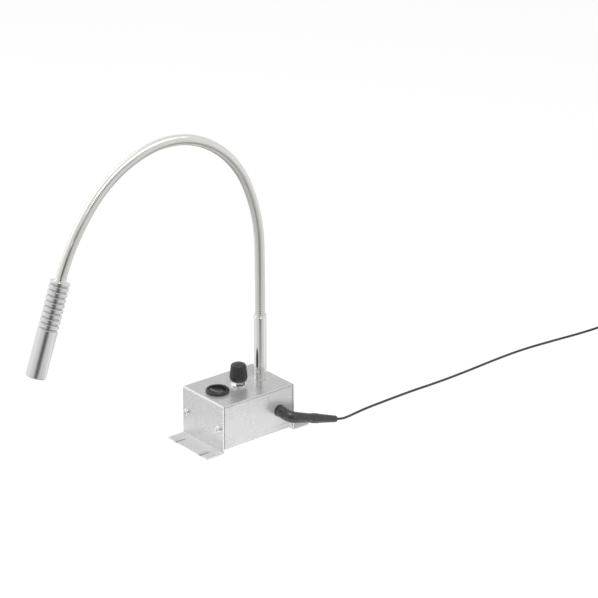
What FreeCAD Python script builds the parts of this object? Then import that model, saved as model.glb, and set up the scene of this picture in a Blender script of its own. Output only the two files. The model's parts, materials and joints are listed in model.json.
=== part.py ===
"""Bench spot illuminator: a folded sheet metal control box with a gooseneck arm and a finned lamp head.

Millimetres. The origin is the centre of the box's footprint, on the surface that the feet stand on.
+X runs from the rocker switch towards the arm, -Y is the front panel with the supply socket, +Z is up.
"""

import FreeCAD, Part
import math
import os

V = FreeCAD.Vector
X, Y, Z = V(1, 0, 0), V(0, 1, 0), V(0, 0, 1)

# Clearances shared by all fits
SLIP = 0.05           # radial gap of a shaft in its bore
FIT = 0.2             # gap of a fixed piece in its hole
CLEAR = 0.3           # gap between pieces that move past each other

# Box: the cover is a folded hat, the tray is a folded U inside it
BOX_L, BOX_W, BOX_H = 70.0, 50.0, 40.0
SHEET = 1.2
BEND_IN = 0.8         # inside radius of every fold
FOOT = 15.0           # how far each foot stands out
SLOT_W, SLOT_DEEP, SLOT_PITCH = 4.0, 9.5, 30.0
TRAY_LIFT = 3.0       # underside of the tray above the bench
TRAY_GAP = 0.35       # seam between tray and cover
TAB_DEEP, TAB_LOW, TAB_HIGH = 10.0, 12.0, 30.0
SCREW_PITCH, SCREW_Z = 40.0, 20.0

# M3 screws with low round heads
M3_R, M3_HOLE_R = 1.5, 1.7
M3_HEAD_R, M3_HEAD_H = 3.0, 2.0
CASE_SCREW_L, BOARD_SCREW_L = 6.0, 4.0
RECESS_W, RECESS_L, RECESS_DEEP = 0.7, 3.0, 1.1
NUT_R, NUT_T = 2.8, 2.5

# Rocker switch
SWITCH_IN = 14.5      # its middle, from the box's end
SWITCH_X = SWITCH_IN - BOX_L / 2
BEZEL_R, BEZEL_H, BEZEL_EDGE = 9.2, 2.6, 1.0
SWITCH_BODY_R, SWITCH_BODY_DEEP = 8.0, 14.0
WELL_R, WELL_DEEP = 7.1, 7.1
WELL_FLOOR = BOX_H - WELL_DEEP
ROCKER_R, PIVOT_R, PIVOT_UP = WELL_R - CLEAR, 1.1, 0.5
PIVOT_REACH = SWITCH_BODY_R - 0.1
PIVOT_Z = BOX_H + PIVOT_UP
ROCKER_TILT, ROCKER_DISH = 12.0, 4.0  # each way from level, and how far each half of its face rises outwards
CREASE_UP, ROCKER_DOWN = 0.8, 3.0
NUB_R, NUB_END = 1.5, 5.0
BLADE_L, BLADE_W, BLADE_T = 9.0, 3.0, 0.4
TERMINAL_X, TERMINAL_W, TERMINAL_T, TERMINAL_L = 3.5, 4.8, 0.8, 8.0
TERMINAL_LOW = BOX_H - SWITCH_BODY_DEEP - TERMINAL_L
RIVET_R, RIVET_H, SHANK_R = 1.2, 1.0, 0.6

# Brightness control
POT_R, POT_DEEP, POT_WALL = 8.0, 8.0, 0.9
SHAFT_R, SHAFT_OUT = 3.0, 9.5
BUSH_R, BUSH_H = SHAFT_R + 0.5, 5.5
BUSH_TOP = BOX_H + BUSH_H
SHAFT_TOP = BUSH_TOP + SHAFT_OUT
SHAFT_COLLAR_R, SHAFT_COLLAR_T = SHAFT_R + 1.2, 1.2
WIPER_R, WIPER_T, WIPER_UP = SHAFT_R + 2.5, 1.0, 1.0
WASHER_R, WASHER_T = BUSH_R + 2.9, 1.2
POT_NUT_AF, POT_NUT_T = 2 * BUSH_R + 2.0, 2.4
POT_PIN_PITCH, POT_PIN_L, POT_PIN_W, POT_PIN_T, POT_PIN_OUT = 5.0, 7.0, 1.2, 0.8, 0.8
POT_PIN_UP = 3.0      # top of the pins above the can's floor
KNOB_LIFT = 0.4       # clear of the nut
KNOB_LOW = BOX_H + WASHER_T + POT_NUT_T + KNOB_LIFT
KNOB_FOOT_R, KNOB_FLARE_H = BUSH_R + 2.6, 2.6
KNOB_WIDE_R, KNOB_TAPER_H = KNOB_FOOT_R + 1.0, 10.4
KNOB_TOP_R, KNOB_DOME_H = KNOB_WIDE_R - 1.2, 1.8
KNOB_RIBS, KNOB_GROOVE_R = 24, 0.5

# Supply socket in the front panel
JACK_IN, JACK_DROP = 15.0, 18.7       # from the box's end and from its top
JACK_X, JACK_Z = BOX_L / 2 - JACK_IN, BOX_H - JACK_DROP
SLEEVE_R, SLEEVE_WALL, SLEEVE_L = 2.75, 0.35, 9.5     # the plug's metal barrel
SOCKET_R, SOCKET_DEEP, PIN_R, PIN_TIP = SLEEVE_R + 0.1, SLEEVE_L + 1.0, 1.0, 1.5
JACK_R, JACK_DEEP = SOCKET_R + 1.15, SOCKET_DEEP + 1.5
JACK_FLANGE_R, JACK_FLANGE_T = JACK_R + 0.8, 0.8
JACK_NUT_AF, JACK_NUT_T = 2 * JACK_R + 3.0, 2.0
JACK_TAB_L, JACK_TAB_W, JACK_TAB_T, JACK_TAB_PITCH = 4.0, 1.6, 0.6, 2.6

# Driver board and what it carries
BOARD_L, BOARD_W, BOARD_T = 36.0, 30.0, 1.6
BOARD_IN, STANDOFF_H, STANDOFF_R, BOARD_EDGE = 22.0, 5.0, 2.5, 3.0
BOARD_X = BOARD_IN - BOX_L / 2
INDUCTOR_R, INDUCTOR_H, INDUCTOR_AT = 4.0, 4.5, (-2.0, 7.0)      # places are from the board's middle
CAN_R, CAN_H, CAN_X, CAN_Y = 2.6, 5.5, -11.0, 4.0
CHIP_L, CHIP_W, CHIP_H, CHIP_X = 5.0, 4.0, 1.6, 4.5
HEADER_L, HEADER_W, HEADER_H, HEADER_Y = 7.0, 6.0, 5.0, -9.0
WIRE_D, WIRE_PITCH, WIRE_ROW = 1.2, 2.4, 1.5
WIRE_SHARE = 0.4      # share of a wire's shorter run that its bend takes

# Arm: a ferrule on the box, then six hose sections that bend at five places
ARM_IN = 13.5         # its middle, from the box's end
ARM_X = BOX_L / 2 - ARM_IN
HOSE_R, RIB_DEEP, HOSE_WALL = 4.0, 0.3, 1.2
HOSE_ROOT_R = HOSE_R - RIB_DEEP
HOSE_BORE_R = HOSE_ROOT_R - HOSE_WALL
FERRULE_R, FERRULE_H, FERRULE_BORE_R = HOSE_R + 1.0, 52.0, HOSE_BORE_R + 0.1
FERRULE_TOP = BOX_H + FERRULE_H
STEM_R, STEM_DEEP = HOSE_R, 7.0
HOSE_SEAT = 12.0      # how deep the hose sits in the ferrule
ARM_NUT_AF, ARM_NUT_T, ARM_WASHER_R, ARM_WASHER_T = 2 * STEM_R + 5.0, 3.0, STEM_R + 3.0, 0.8
COLLAR_R, COLLAR_H = HOSE_R + 0.9, 1.4
HOSE_SECTION = 56.65  # length of each section along its centre line
HOSE_TURNS = (1.1, 24.2, 38.4, 43.9, 32.3, 20.4)    # degrees that each section curves at rest
HOSE_RIBS = 33        # in each section
RIB_LAND = 0.35       # share of a rib's pitch that lies at the root
HINGE_BALL_R = (HOSE_R + HOSE_ROOT_R) / 2     # rounded end of a section, in the hollow end of the next
HINGE_LAND = 1.5      # ribless stretch beside a hinge
LEAD_R, LEAD_STOP, LEAD_TAIL = HOSE_BORE_R - 0.8, 1.2, 6.0

# Lamp head
HEAD_R, HEAD_L = 7.5, 72.0
GROOVES, GROOVE_PITCH, GROOVE_W, GROOVE_DEEP, GROOVE_START = 9, 4.05, 1.6, 1.3, 1.9
HEAD_EDGE = 0.6
NECK_R, NECK_H, NECK_STEM_R, NECK_STEM_L = HOSE_R + 1.0, 0.8, HOSE_R, 8.0
LENS_SEAT_R = HEAD_R - 1.5
LAMP_CAVITY_R = LENS_SEAT_R - 0.8
LED_AT, LENS_AT, LENS_T, LENS_RISE = 43.0, 63.0, 3.0, 1.6
LED_BOARD_R, LED_BOARD_T, LED_SIZE, LED_H = LAMP_CAVITY_R - FIT, 1.6, 3.5, 0.8
LED_DOME_R = 1.3
RING_T, RING_BORE_R = 3.0, LAMP_CAVITY_R - 0.3

# Moulded right-angle plug
PLUG_NOSE_L, PLUG_FLAT = 12.2, 3.0
ELBOW = V(JACK_X + 0.3, -BOX_W / 2 - JACK_FLANGE_T - PLUG_NOSE_L, JACK_Z - 1.3)
BOOT_TIP = V(65.5, -39.4, 5.9)        # the cord's first point
PLUG_NOSE_R, PLUG_ELBOW_R, PLUG_WAIST_R, PLUG_RING_R = 4.5, 4.6, 3.7, 4.0
PLUG_WAIST_AT, PLUG_RING_AT = 0.46, 0.58      # start and end of the ring, as shares of the way to the tip
BOOT_R, BOOT_TIP_R = 3.8, 2.6

# Cord: its free stretch, then the put-away coil and the mains adaptor
CORD_D = 2.0
CORD_ROUTE = [
    (65.5, -39.4, 5.9), (71.2, -39.58, 4.12), (83.0, -36.2, 2.4), (100.0, -33.0, 1.9), (124.0, -31.4, 1.5),
    (152.0, -30.0, 1.15), (182.0, -30.6, 1.05), (214.0, -29.6, 1.05), (248.0, -27.2, 1.05),
    (281.0, -26.2, 1.05), (313.0, -29.0, 1.05), (340.0, -32.6, 1.3), (360.0, -34.8, 1.8),
    (373.0, -35.0, 2.0),
]
COIL_TURN_IN, COIL_TURN_OUT = 7.1, 16.9      # radii of the innermost and outermost turn
COIL_PITCH, COIL_LAYER = 2.8, 2.6
COIL_X, COIL_LOW = 379.0, 2.0
COIL_LAST_TURNS = 3   # the top layer stops here, and its end runs to the adaptor
TIE_W, TIE_T, TIE_GAP = 3.0, 0.6, 0.3
ADAPTOR_L, ADAPTOR_W, ADAPTOR_H, ADAPTOR_EDGE = 58.0, 28.0, 38.0, 3.0
ADAPTOR_X = 411.0
RELIEF_L, RELIEF_R, RELIEF_WALL = 9.0, 3.2, 0.6
PRONG_L, PRONG_W, PRONG_T, PRONG_PITCH = 17.5, 6.3, 1.5, 12.7
LABEL_L, LABEL_H, LABEL_T, LABEL_IN, LABEL_Z = 24.0, 5.0, 0.12, 17.0, 6.8
LABEL_X = BOX_L / 2 - LABEL_IN

TOP = BOX_H - SHEET                       # underside of the cover's top
PANEL_IN = BOX_W / 2 - SHEET              # inner face of the front and back panels
TRAY_FLOOR = TRAY_LIFT + SHEET
BOARD_Z = TRAY_FLOOR + STANDOFF_H


def box(x0, x1, y0, y1, z0, z1):
    return Part.makeBox(x1 - x0, y1 - y0, z1 - z0, V(x0, y0, z0))


def rod(radius, start, direction, length):
    return Part.makeCylinder(radius, length, start, direction)


def ring(outer, inner, start, direction, length):
    return rod(outer, start, direction, length).cut(rod(inner, start, direction, length))


def cone(r0, r1, start, direction, length):
    if abs(r0 - r1) < 1e-6:
        return rod(r0, start, direction, length)
    return Part.makeCone(r0, r1, length, start, direction)


def hexagon(flats, bore, start, direction, length):
    """A hexagon nut across flats, with its bore."""
    side = V(direction.y, direction.z, direction.x)
    side = side - direction * side.dot(direction)
    side.normalize()
    other = direction.cross(side)
    reach = flats / math.sqrt(3)
    corners = []
    for i in range(7):
        a = math.radians(60 * i)
        corners.append(start + side * (reach * math.cos(a)) + other * (reach * math.sin(a)))
    body = Part.Face(Part.makePolygon(corners)).extrude(direction * length)
    return body.cut(rod(bore, start, direction, length))


def turned(points):
    """A solid of revolution about Z from its (radius, height) outline."""
    outline = Part.makePolygon([V(r, 0, z) for r, z in points + points[:1]])
    return Part.Face(outline).revolve(V(0, 0, 0), Z, 360)


def along(shape, start, direction):
    """The shape, made about Z, moved to start and laid along direction."""
    shape = shape.copy()
    shape.Placement = FreeCAD.Placement(start, FreeCAD.Rotation(Z, direction))
    return shape


def corner_arc(before, corner, after, radius):
    """(start, middle, end) of the arc that rounds a corner."""
    u, w = before - corner, after - corner
    u.normalize()
    w.normalize()
    half = math.acos(max(-1.0, min(1.0, u.dot(w)))) / 2
    reach = radius / math.tan(half)
    inward = u + w
    inward.normalize()
    centre = corner + inward * (radius / math.sin(half))
    return corner + u * reach, centre - inward * radius, corner + w * reach


def line(start, end):
    return Part.LineSegment(start, end).toShape()


def rounded_path(points, radii):
    """Straight runs joined by tangent arcs, as a list of edges."""
    edges, at = [], points[0]
    for i in range(1, len(points) - 1):
        start, middle, end = corner_arc(points[i - 1], points[i], points[i + 1], radii[i - 1])
        if (start - at).Length > 1e-4:
            edges.append(line(at, start))
        edges.append(Part.Arc(start, middle, end).toShape())
        at = end
    edges.append(line(at, points[-1]))
    return edges


def largest_radii(points, share=0.45):
    """The largest arc that each corner's shorter run allows."""
    radii = []
    for a, b, c in zip(points, points[1:], points[2:]):
        turn = (b - a).getAngle(c - b)
        radii.append(share * min((b - a).Length, (c - b).Length) / math.tan(turn / 2))
    return radii


def pipe(edges, radius):
    """A round tube, filled, along a tangent chain of edges."""
    path = Part.Wire(edges)
    first = path.OrderedEdges[0]
    start = first.valueAt(first.FirstParameter)
    heading = first.tangentAt(first.FirstParameter)
    section = Part.Wire(Part.Circle(start, heading, radius).toShape())
    shell = Part.BRepOffsetAPI.MakePipeShell(path)
    shell.add(section)
    shell.build()
    shell.makeSolid()
    return shell.shape()


def folded_strip(points, thickness, plane_normal, depth):
    """A folded sheet: the middle line's corners are bent, and the section is drawn out square to it."""
    middle_r = BEND_IN + thickness / 2
    sides = []
    for side in (1, -1):
        moved, radii = [], []
        for i, p in enumerate(points):
            before = points[i] - points[i - 1] if i else points[1] - points[0]
            after = points[i + 1] - points[i] if i + 1 < len(points) else before
            before.normalize()
            after.normalize()
            n0, n1 = plane_normal.cross(before), plane_normal.cross(after)
            bisector = n0 + n1
            bisector.normalize()
            moved.append(p + bisector * (side * thickness / 2 / bisector.dot(n0)))
            if 0 < i < len(points) - 1:
                left = before.cross(after).dot(plane_normal) > 0
                radii.append(middle_r - thickness / 2 * side * (1 if left else -1))
        sides.append((moved, radii))
    (up, up_r), (down, down_r) = sides
    edges = rounded_path(up, up_r) + [line(up[-1], down[-1])]
    edges += rounded_path(down[::-1], down_r[::-1]) + [line(down[0], up[0])]
    face = Part.Face(Part.Wire(Part.__sortEdges__(edges)))
    return face.extrude(plane_normal * depth)


def save(name, *shapes):
    shape = shapes[0] if len(shapes) == 1 else Part.makeCompound(list(shapes))
    if not shape.isValid():
        print("not valid:", name)
    shape.exportStep("parts/%s.step" % name)


def m3_screw(seat, inward, length):
    """A round-headed cross-recess screw: seat is the face under its head, inward the way that it goes in."""
    head = rod(M3_HEAD_R, V(0, 0, 0), Z, M3_HEAD_H)
    head = head.makeFillet(M3_HEAD_H * 0.55, [e for e in head.Edges if e.CenterOfMass.z > M3_HEAD_H - 1e-3
                                              and e.Length > M3_HEAD_R * 4])
    top = M3_HEAD_H - RECESS_DEEP
    for long_x, long_y in ((RECESS_L, RECESS_W), (RECESS_W, RECESS_L)):
        head = head.cut(box(-long_x / 2, long_x / 2, -long_y / 2, long_y / 2, top, M3_HEAD_H + 1))
    screw = head.fuse(rod(M3_R - SLIP, V(0, 0, -length), Z, length)).removeSplitter()
    return along(screw, seat, inward * -1)


def make_box():
    foot_z, end_x, top_z = SHEET / 2, BOX_L / 2 - SHEET / 2, BOX_H - SHEET / 2
    reach = BOX_L / 2 + FOOT
    line_xz = [V(-reach, BOX_W / 2, foot_z), V(-end_x, BOX_W / 2, foot_z), V(-end_x, BOX_W / 2, top_z),
               V(end_x, BOX_W / 2, top_z), V(end_x, BOX_W / 2, foot_z), V(reach, BOX_W / 2, foot_z)]
    cover = folded_strip(line_xz, SHEET, Y * -1, BOX_W)
    cuts = [rod(SWITCH_BODY_R + FIT, V(SWITCH_X, 0, TOP - 1), Z, SHEET + 2),
            rod(BUSH_R + FIT, V(0, 0, TOP - 1), Z, SHEET + 2),
            rod(STEM_R + FIT, V(ARM_X, 0, TOP - 1), Z, SHEET + 2)]
    for side in (-1, 1):
        for y in (-SCREW_PITCH / 2, SCREW_PITCH / 2):
            cuts.append(rod(M3_HOLE_R, V(side * (BOX_L / 2 - SHEET - 1), y, SCREW_Z), X * side, SHEET + 2))
        for y in (-SLOT_PITCH / 2, SLOT_PITCH / 2):
            end = reach - SLOT_DEEP + SLOT_W / 2
            cuts.append(rod(SLOT_W / 2, V(side * end, y, -1), Z, SHEET + 2))
            low, high = sorted((side * end, side * (reach + 1)))
            cuts.append(box(low, high, y - SLOT_W / 2, y + SLOT_W / 2, -1, SHEET + 1))
    save("cover", cover.cut(Part.makeCompound(cuts)))

    wall_y, high = BOX_W / 2 - SHEET / 2, TOP - TRAY_GAP
    end = BOX_L / 2 - SHEET - TRAY_GAP
    line_yz = [V(-end, -wall_y, high), V(-end, -wall_y, TRAY_LIFT + SHEET / 2),
               V(-end, wall_y, TRAY_LIFT + SHEET / 2), V(-end, wall_y, high)]
    tray = folded_strip(line_yz, SHEET, X, 2 * end)
    tabs, holes, nuts, screws = [], [], [], []
    for side in (-1, 1):
        for way in (-1, 1):
            x0, x1 = sorted((side * end, side * (end - SHEET)))
            y0, y1 = sorted((way * (PANEL_IN + SHEET / 2), way * (PANEL_IN - TAB_DEEP)))
            tabs.append(box(x0, x1, y0, y1, TAB_LOW, TAB_HIGH))
            seat = V(side * (end - SHEET), way * SCREW_PITCH / 2, SCREW_Z)
            holes.append(rod(M3_HOLE_R, seat - X * side, X * side, SHEET + 2))
            nuts.append(ring(NUT_R, M3_R, seat, X * -side, NUT_T))
            screws.append(m3_screw(V(side * BOX_L / 2, seat.y, SCREW_Z), X * -side, CASE_SCREW_L))
    holes.append(rod(JACK_R + FIT / 2, V(JACK_X, -BOX_W / 2 - 1, JACK_Z), Y, SHEET + 2))
    for x, y in standoff_places():
        holes.append(rod(M3_HOLE_R, V(x, y, TRAY_LIFT - 1), Z, SHEET + 2))
    save("tray", tray.fuse(tabs).removeSplitter().cut(Part.makeCompound(holes)))
    save("case_screws", *screws)
    save("clinch_nuts", *nuts)
    save("front_label", box(LABEL_X - LABEL_L / 2, LABEL_X + LABEL_L / 2, -BOX_W / 2 - LABEL_T, -BOX_W / 2,
                            LABEL_Z - LABEL_H / 2, LABEL_Z + LABEL_H / 2))


def standoff_places():
    dx, dy = BOARD_L / 2 - BOARD_EDGE, BOARD_W / 2 - BOARD_EDGE
    return [(BOARD_X + sx * dx, sy * dy) for sx in (-1, 1) for sy in (-1, 1)]


def make_switch():
    centre, down = V(SWITCH_X, 0, BOX_H), BOX_H - SWITCH_BODY_DEEP
    bezel = turned([(0, down), (SWITCH_BODY_R, down), (SWITCH_BODY_R, BOX_H), (BEZEL_R, BOX_H),
                    (BEZEL_R, BOX_H + BEZEL_H - BEZEL_EDGE), (BEZEL_R - BEZEL_EDGE, BOX_H + BEZEL_H),
                    (0, BOX_H + BEZEL_H)])
    bezel.translate(V(SWITCH_X, 0, 0))
    pivot = V(SWITCH_X, 0, PIVOT_Z)
    well = rod(WELL_R, V(SWITCH_X, 0, WELL_FLOOR), Z, BOX_H)
    pin_hole = rod(PIVOT_R + SLIP, pivot - Y * (PIVOT_REACH + CLEAR), Y, 2 * (PIVOT_REACH + CLEAR))
    terminals = []
    for side in (-1, 1):
        at = V(SWITCH_X + side * TERMINAL_X, 0, WELL_FLOOR)
        shank = rod(SHANK_R, V(at.x, 0, down - 1), Z, WELL_FLOOR - down + 1.5)
        rivet = rod(RIVET_R, at, Z, RIVET_H).fuse(shank)
        blade = box(at.x - TERMINAL_T / 2, at.x + TERMINAL_T / 2, -TERMINAL_W / 2, TERMINAL_W / 2,
                    TERMINAL_LOW, down)
        terminals.append(rivet.fuse(blade).removeSplitter())
    save("switch_housing", bezel.cut(Part.makeCompound([well, pin_hole] + terminals)))
    save("switch_terminals", *terminals)

    ball = Part.makeSphere(ROCKER_R, pivot)
    slab = box(SWITCH_X - 10, SWITCH_X + 10, -10, 10, PIVOT_Z - ROCKER_DOWN, PIVOT_Z + 10)
    cap = ball.common(slab)
    for side in (-1, 1):
        above = box(SWITCH_X - 12, SWITCH_X + 12, -10, 10, PIVOT_Z + CREASE_UP, PIVOT_Z + 20)
        above.rotate(pivot + Z * CREASE_UP, Y, -side * ROCKER_DISH)
        half = box(*sorted((SWITCH_X, SWITCH_X + side * 12)), -10, 10, PIVOT_Z - 1, PIVOT_Z + 20)
        cap = cap.cut(above.common(half))
    cap = cap.fuse(rod(PIVOT_R, pivot - Y * PIVOT_REACH, Y, 2 * PIVOT_REACH))
    cap = cap.fuse(rod(NUB_R, pivot - Z * NUB_END, Z, NUB_END)).removeSplitter()
    cap.rotate(pivot, Y, ROCKER_TILT)
    save("rocker", cap)
    blade = box(SWITCH_X - BLADE_L / 2, SWITCH_X + BLADE_L / 2, -BLADE_W / 2, BLADE_W / 2,
                PIVOT_Z - NUB_END - BLADE_T, PIVOT_Z - NUB_END)
    blade.rotate(pivot, Y, ROCKER_TILT)
    save("switch_contact", blade)


def make_brightness_control():
    low = TOP - POT_DEEP
    can = rod(POT_R, V(0, 0, low), Z, POT_DEEP).fuse(rod(BUSH_R, V(0, 0, TOP - 1), Z, BUSH_TOP - TOP + 1))
    can = can.cut(rod(POT_R - POT_WALL, V(0, 0, low + POT_WALL), Z, POT_DEEP - 2 * POT_WALL))
    can = can.cut(rod(SHAFT_R + SLIP, V(0, 0, low + POT_WALL), Z, BUSH_TOP))
    save("pot_body", can.removeSplitter())
    save("pot_washer", ring(WASHER_R, BUSH_R + SLIP, V(0, 0, BOX_H), Z, WASHER_T))
    save("pot_nut", hexagon(POT_NUT_AF, BUSH_R + SLIP, V(0, 0, BOX_H + WASHER_T), Z, POT_NUT_T))
    pins = []
    for i in (-1, 0, 1):
        x = i * POT_PIN_PITCH
        wall = -math.sqrt(POT_R ** 2 - x ** 2)
        x0, x1, out = x - POT_PIN_W / 2, x + POT_PIN_W / 2, wall - POT_PIN_OUT - POT_PIN_T
        high = low + POT_PIN_UP
        pin = box(x0, x1, out, out + POT_PIN_T, high - POT_PIN_L, high)
        pin = pin.fuse(box(x0, x1, out, wall + POT_WALL / 2, high - POT_PIN_T, high))
        pins.append(pin.cut(rod(POT_R, V(0, 0, low), Z, POT_DEEP)).removeSplitter())
    save("pot_terminals", *pins)

    roof = TOP - POT_WALL
    bottom = low + POT_WALL + 2 * CLEAR
    shaft = rod(SHAFT_R, V(0, 0, bottom), Z, SHAFT_TOP - bottom)
    shaft = shaft.fuse(rod(SHAFT_COLLAR_R, V(0, 0, roof - CLEAR - SHAFT_COLLAR_T), Z, SHAFT_COLLAR_T))
    save("pot_shaft", shaft.removeSplitter())
    save("pot_wiper", ring(WIPER_R, SHAFT_R, V(0, 0, bottom + WIPER_UP), Z, WIPER_T))
    save("knob", knob_shape())


def knob_shape():
    """A ribbed knob with a flared foot and a low dome."""
    wide = KNOB_LOW + KNOB_FLARE_H
    shoulder = wide + KNOB_TAPER_H
    dome_r = (KNOB_TOP_R ** 2 + KNOB_DOME_H ** 2) / (2 * KNOB_DOME_H)
    dome = Part.makeSphere(dome_r, V(0, 0, shoulder + KNOB_DOME_H - dome_r))
    knob = cone(KNOB_FOOT_R, KNOB_WIDE_R, V(0, 0, KNOB_LOW), Z, KNOB_FLARE_H)
    knob = knob.fuse(cone(KNOB_WIDE_R, KNOB_TOP_R, V(0, 0, wide), Z, KNOB_TAPER_H))
    knob = knob.fuse(dome.common(rod(KNOB_TOP_R, V(0, 0, shoulder), Z, KNOB_DOME_H + 1))).removeSplitter()
    slope = V(KNOB_TOP_R - KNOB_WIDE_R, 0, KNOB_TAPER_H)
    slope.normalize()
    grooves = []
    for i in range(KNOB_RIBS):
        foot = V(KNOB_WIDE_R + KNOB_GROOVE_R / 2, 0, wide)
        groove = rod(KNOB_GROOVE_R, foot, slope, KNOB_TAPER_H + KNOB_DOME_H)
        groove.rotate(V(0, 0, 0), Z, 360.0 * i / KNOB_RIBS)
        grooves.append(groove)
    knob = knob.cut(Part.makeCompound(grooves))
    bores = [rod(BUSH_R + CLEAR, V(0, 0, KNOB_LOW), Z, BUSH_TOP + CLEAR - KNOB_LOW),
             rod(SHAFT_R, V(0, 0, BUSH_TOP), Z, SHAFT_TOP - BUSH_TOP)]
    for bore in bores:
        knob = knob.cut(bore)
    return knob


def make_socket():
    face = V(JACK_X, -BOX_W / 2, JACK_Z)
    mouth = face - Y * JACK_FLANGE_T
    body = rod(JACK_R, face, Y, JACK_DEEP).fuse(rod(JACK_FLANGE_R, mouth, Y, JACK_FLANGE_T))
    body = body.removeSplitter().cut(rod(SOCKET_R, mouth, Y, SOCKET_DEEP))
    back = face + Y * JACK_DEEP
    pin_start = mouth + Y * PIN_TIP
    pin = rod(PIN_R, pin_start, Y, JACK_DEEP + JACK_FLANGE_T - PIN_TIP + 0.5)
    tabs = []
    for dx, dz in ((0, 0), (-JACK_TAB_PITCH, 0), (0, -JACK_TAB_PITCH)):
        x, z = face.x + dx, face.z + dz
        tabs.append(box(x - JACK_TAB_W / 2, x + JACK_TAB_W / 2, back.y, back.y + JACK_TAB_L,
                        z - JACK_TAB_T / 2, z + JACK_TAB_T / 2))
    pin = pin.fuse(tabs[0]).removeSplitter()
    save("jack_body", body.cut(pin))
    save("jack_contacts", pin, *tabs[1:])
    save("jack_nut", hexagon(JACK_NUT_AF, JACK_R + SLIP, V(JACK_X, -PANEL_IN, JACK_Z), Y, JACK_NUT_T))


def wire(points):
    return pipe(rounded_path(points, largest_radii(points, WIRE_SHARE)), WIRE_D / 2)


def make_driver():
    board = box(BOARD_X - BOARD_L / 2, BOARD_X + BOARD_L / 2, -BOARD_W / 2, BOARD_W / 2,
                BOARD_Z, BOARD_Z + BOARD_T)
    posts, screws = [], []
    for x, y in standoff_places():
        board = board.cut(rod(M3_HOLE_R, V(x, y, BOARD_Z - 1), Z, BOARD_T + 2))
        post = rod(STANDOFF_R, V(x, y, TRAY_FLOOR), Z, STANDOFF_H)
        post = post.fuse(rod(M3_HOLE_R, V(x, y, TRAY_LIFT), Z, SHEET)).removeSplitter()
        posts.append(post.cut(rod(M3_R, V(x, y, BOARD_Z - BOARD_SCREW_L), Z, BOARD_SCREW_L + 1)))
        screws.append(m3_screw(V(x, y, BOARD_Z + BOARD_T), Z * -1, BOARD_SCREW_L))
    deck = BOARD_Z + BOARD_T
    save("driver_board", board)
    save("standoffs", *posts)
    save("board_screws", *screws)
    dx, dy = INDUCTOR_AT
    save("inductor", rod(INDUCTOR_R, V(BOARD_X + dx, dy, deck), Z, INDUCTOR_H))
    save("capacitors", *[rod(CAN_R, V(BOARD_X + CAN_X, y, deck), Z, CAN_H) for y in (CAN_Y, -CAN_Y)])
    chip_x = BOARD_X + CHIP_X
    save("driver_chip", box(chip_x - CHIP_L / 2, chip_x + CHIP_L / 2, -CHIP_W / 2, CHIP_W / 2,
                            deck, deck + CHIP_H))
    save("wire_header", box(BOARD_X - HEADER_L / 2, BOARD_X + HEADER_L / 2, HEADER_Y - HEADER_W / 2,
                            HEADER_Y + HEADER_W / 2, deck, deck + HEADER_H))
    roof = deck + HEADER_H
    leads = []
    pot_pin = V(-POT_PIN_PITCH, -math.sqrt(POT_R ** 2 - POT_PIN_PITCH ** 2) - POT_PIN_OUT - POT_PIN_T / 2,
                TOP - POT_DEEP + POT_PIN_UP - POT_PIN_L)
    upper = [V(SWITCH_X - TERMINAL_X, 0, TERMINAL_LOW), V(SWITCH_X + TERMINAL_X, 0, TERMINAL_LOW), pot_pin]
    for i, end in enumerate(upper):
        start = V(BOARD_X + (i - 1) * WIRE_PITCH, HEADER_Y + WIRE_ROW, roof)
        rise = min(2.0, (end.z - roof) / 3)
        leads.append(wire([start, start + Z * rise, end - Z * rise, end]))
    for i in range(2):
        end = V(JACK_X, -BOX_W / 2 + JACK_DEEP + JACK_TAB_L, JACK_Z - i * JACK_TAB_PITCH)
        start = V(BOARD_X + i * WIRE_PITCH, HEADER_Y - WIRE_ROW, roof)
        back = end + Y * 4
        leads.append(wire([start, start + Z * (7 - 3 * i), back - X * 8 + Y * i, back, end]))
    save("inner_leads", *leads)


def hose_frames():
    """The (point, heading in degrees, turn in degrees) at which each hose section starts, and the end."""
    at, heading, frames = V(ARM_X, 0, FERRULE_TOP), 90.0, []
    for turn in HOSE_TURNS:
        frames.append((at, heading, turn))
        at = section_point(at, heading, turn, HOSE_SECTION)
        heading += turn
    frames.append((at, heading, 0.0))
    return frames


def heading_vector(heading):
    a = math.radians(heading)
    return V(math.cos(a), 0, math.sin(a))


def section_point(start, heading, turn, along_it):
    """The point on a section's arc, that far from its start."""
    radius = HOSE_SECTION / math.radians(turn)
    a0 = math.radians(heading)
    a1 = a0 + along_it / radius
    return start + V(radius * (math.sin(a1) - math.sin(a0)), 0, radius * (math.cos(a0) - math.cos(a1)))


def circle_across(centre, heading, radius):
    """A circle square to the heading, with its first point always on the +Y side."""
    forward = heading_vector(heading)
    turn = FreeCAD.Rotation(Y, forward.cross(Y), forward, "ZXY")
    circle = Part.Circle(V(0, 0, 0), Z, radius).toShape()
    circle.Placement = FreeCAD.Placement(centre, turn)
    return Part.Wire(circle)


def curved_core(start, heading, turn, radius, from_it, to_it):
    """A filled round bar along part of a section's arc."""
    bend = HOSE_SECTION / math.radians(turn)
    left = heading_vector(heading + 90)
    centre = start + left * bend
    disc = Part.Face(circle_across(section_point(start, heading, turn, from_it),
                                   heading + turn * from_it / HOSE_SECTION, radius))
    return disc.revolve(centre, Y * -1, turn * (to_it - from_it) / HOSE_SECTION)


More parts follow.
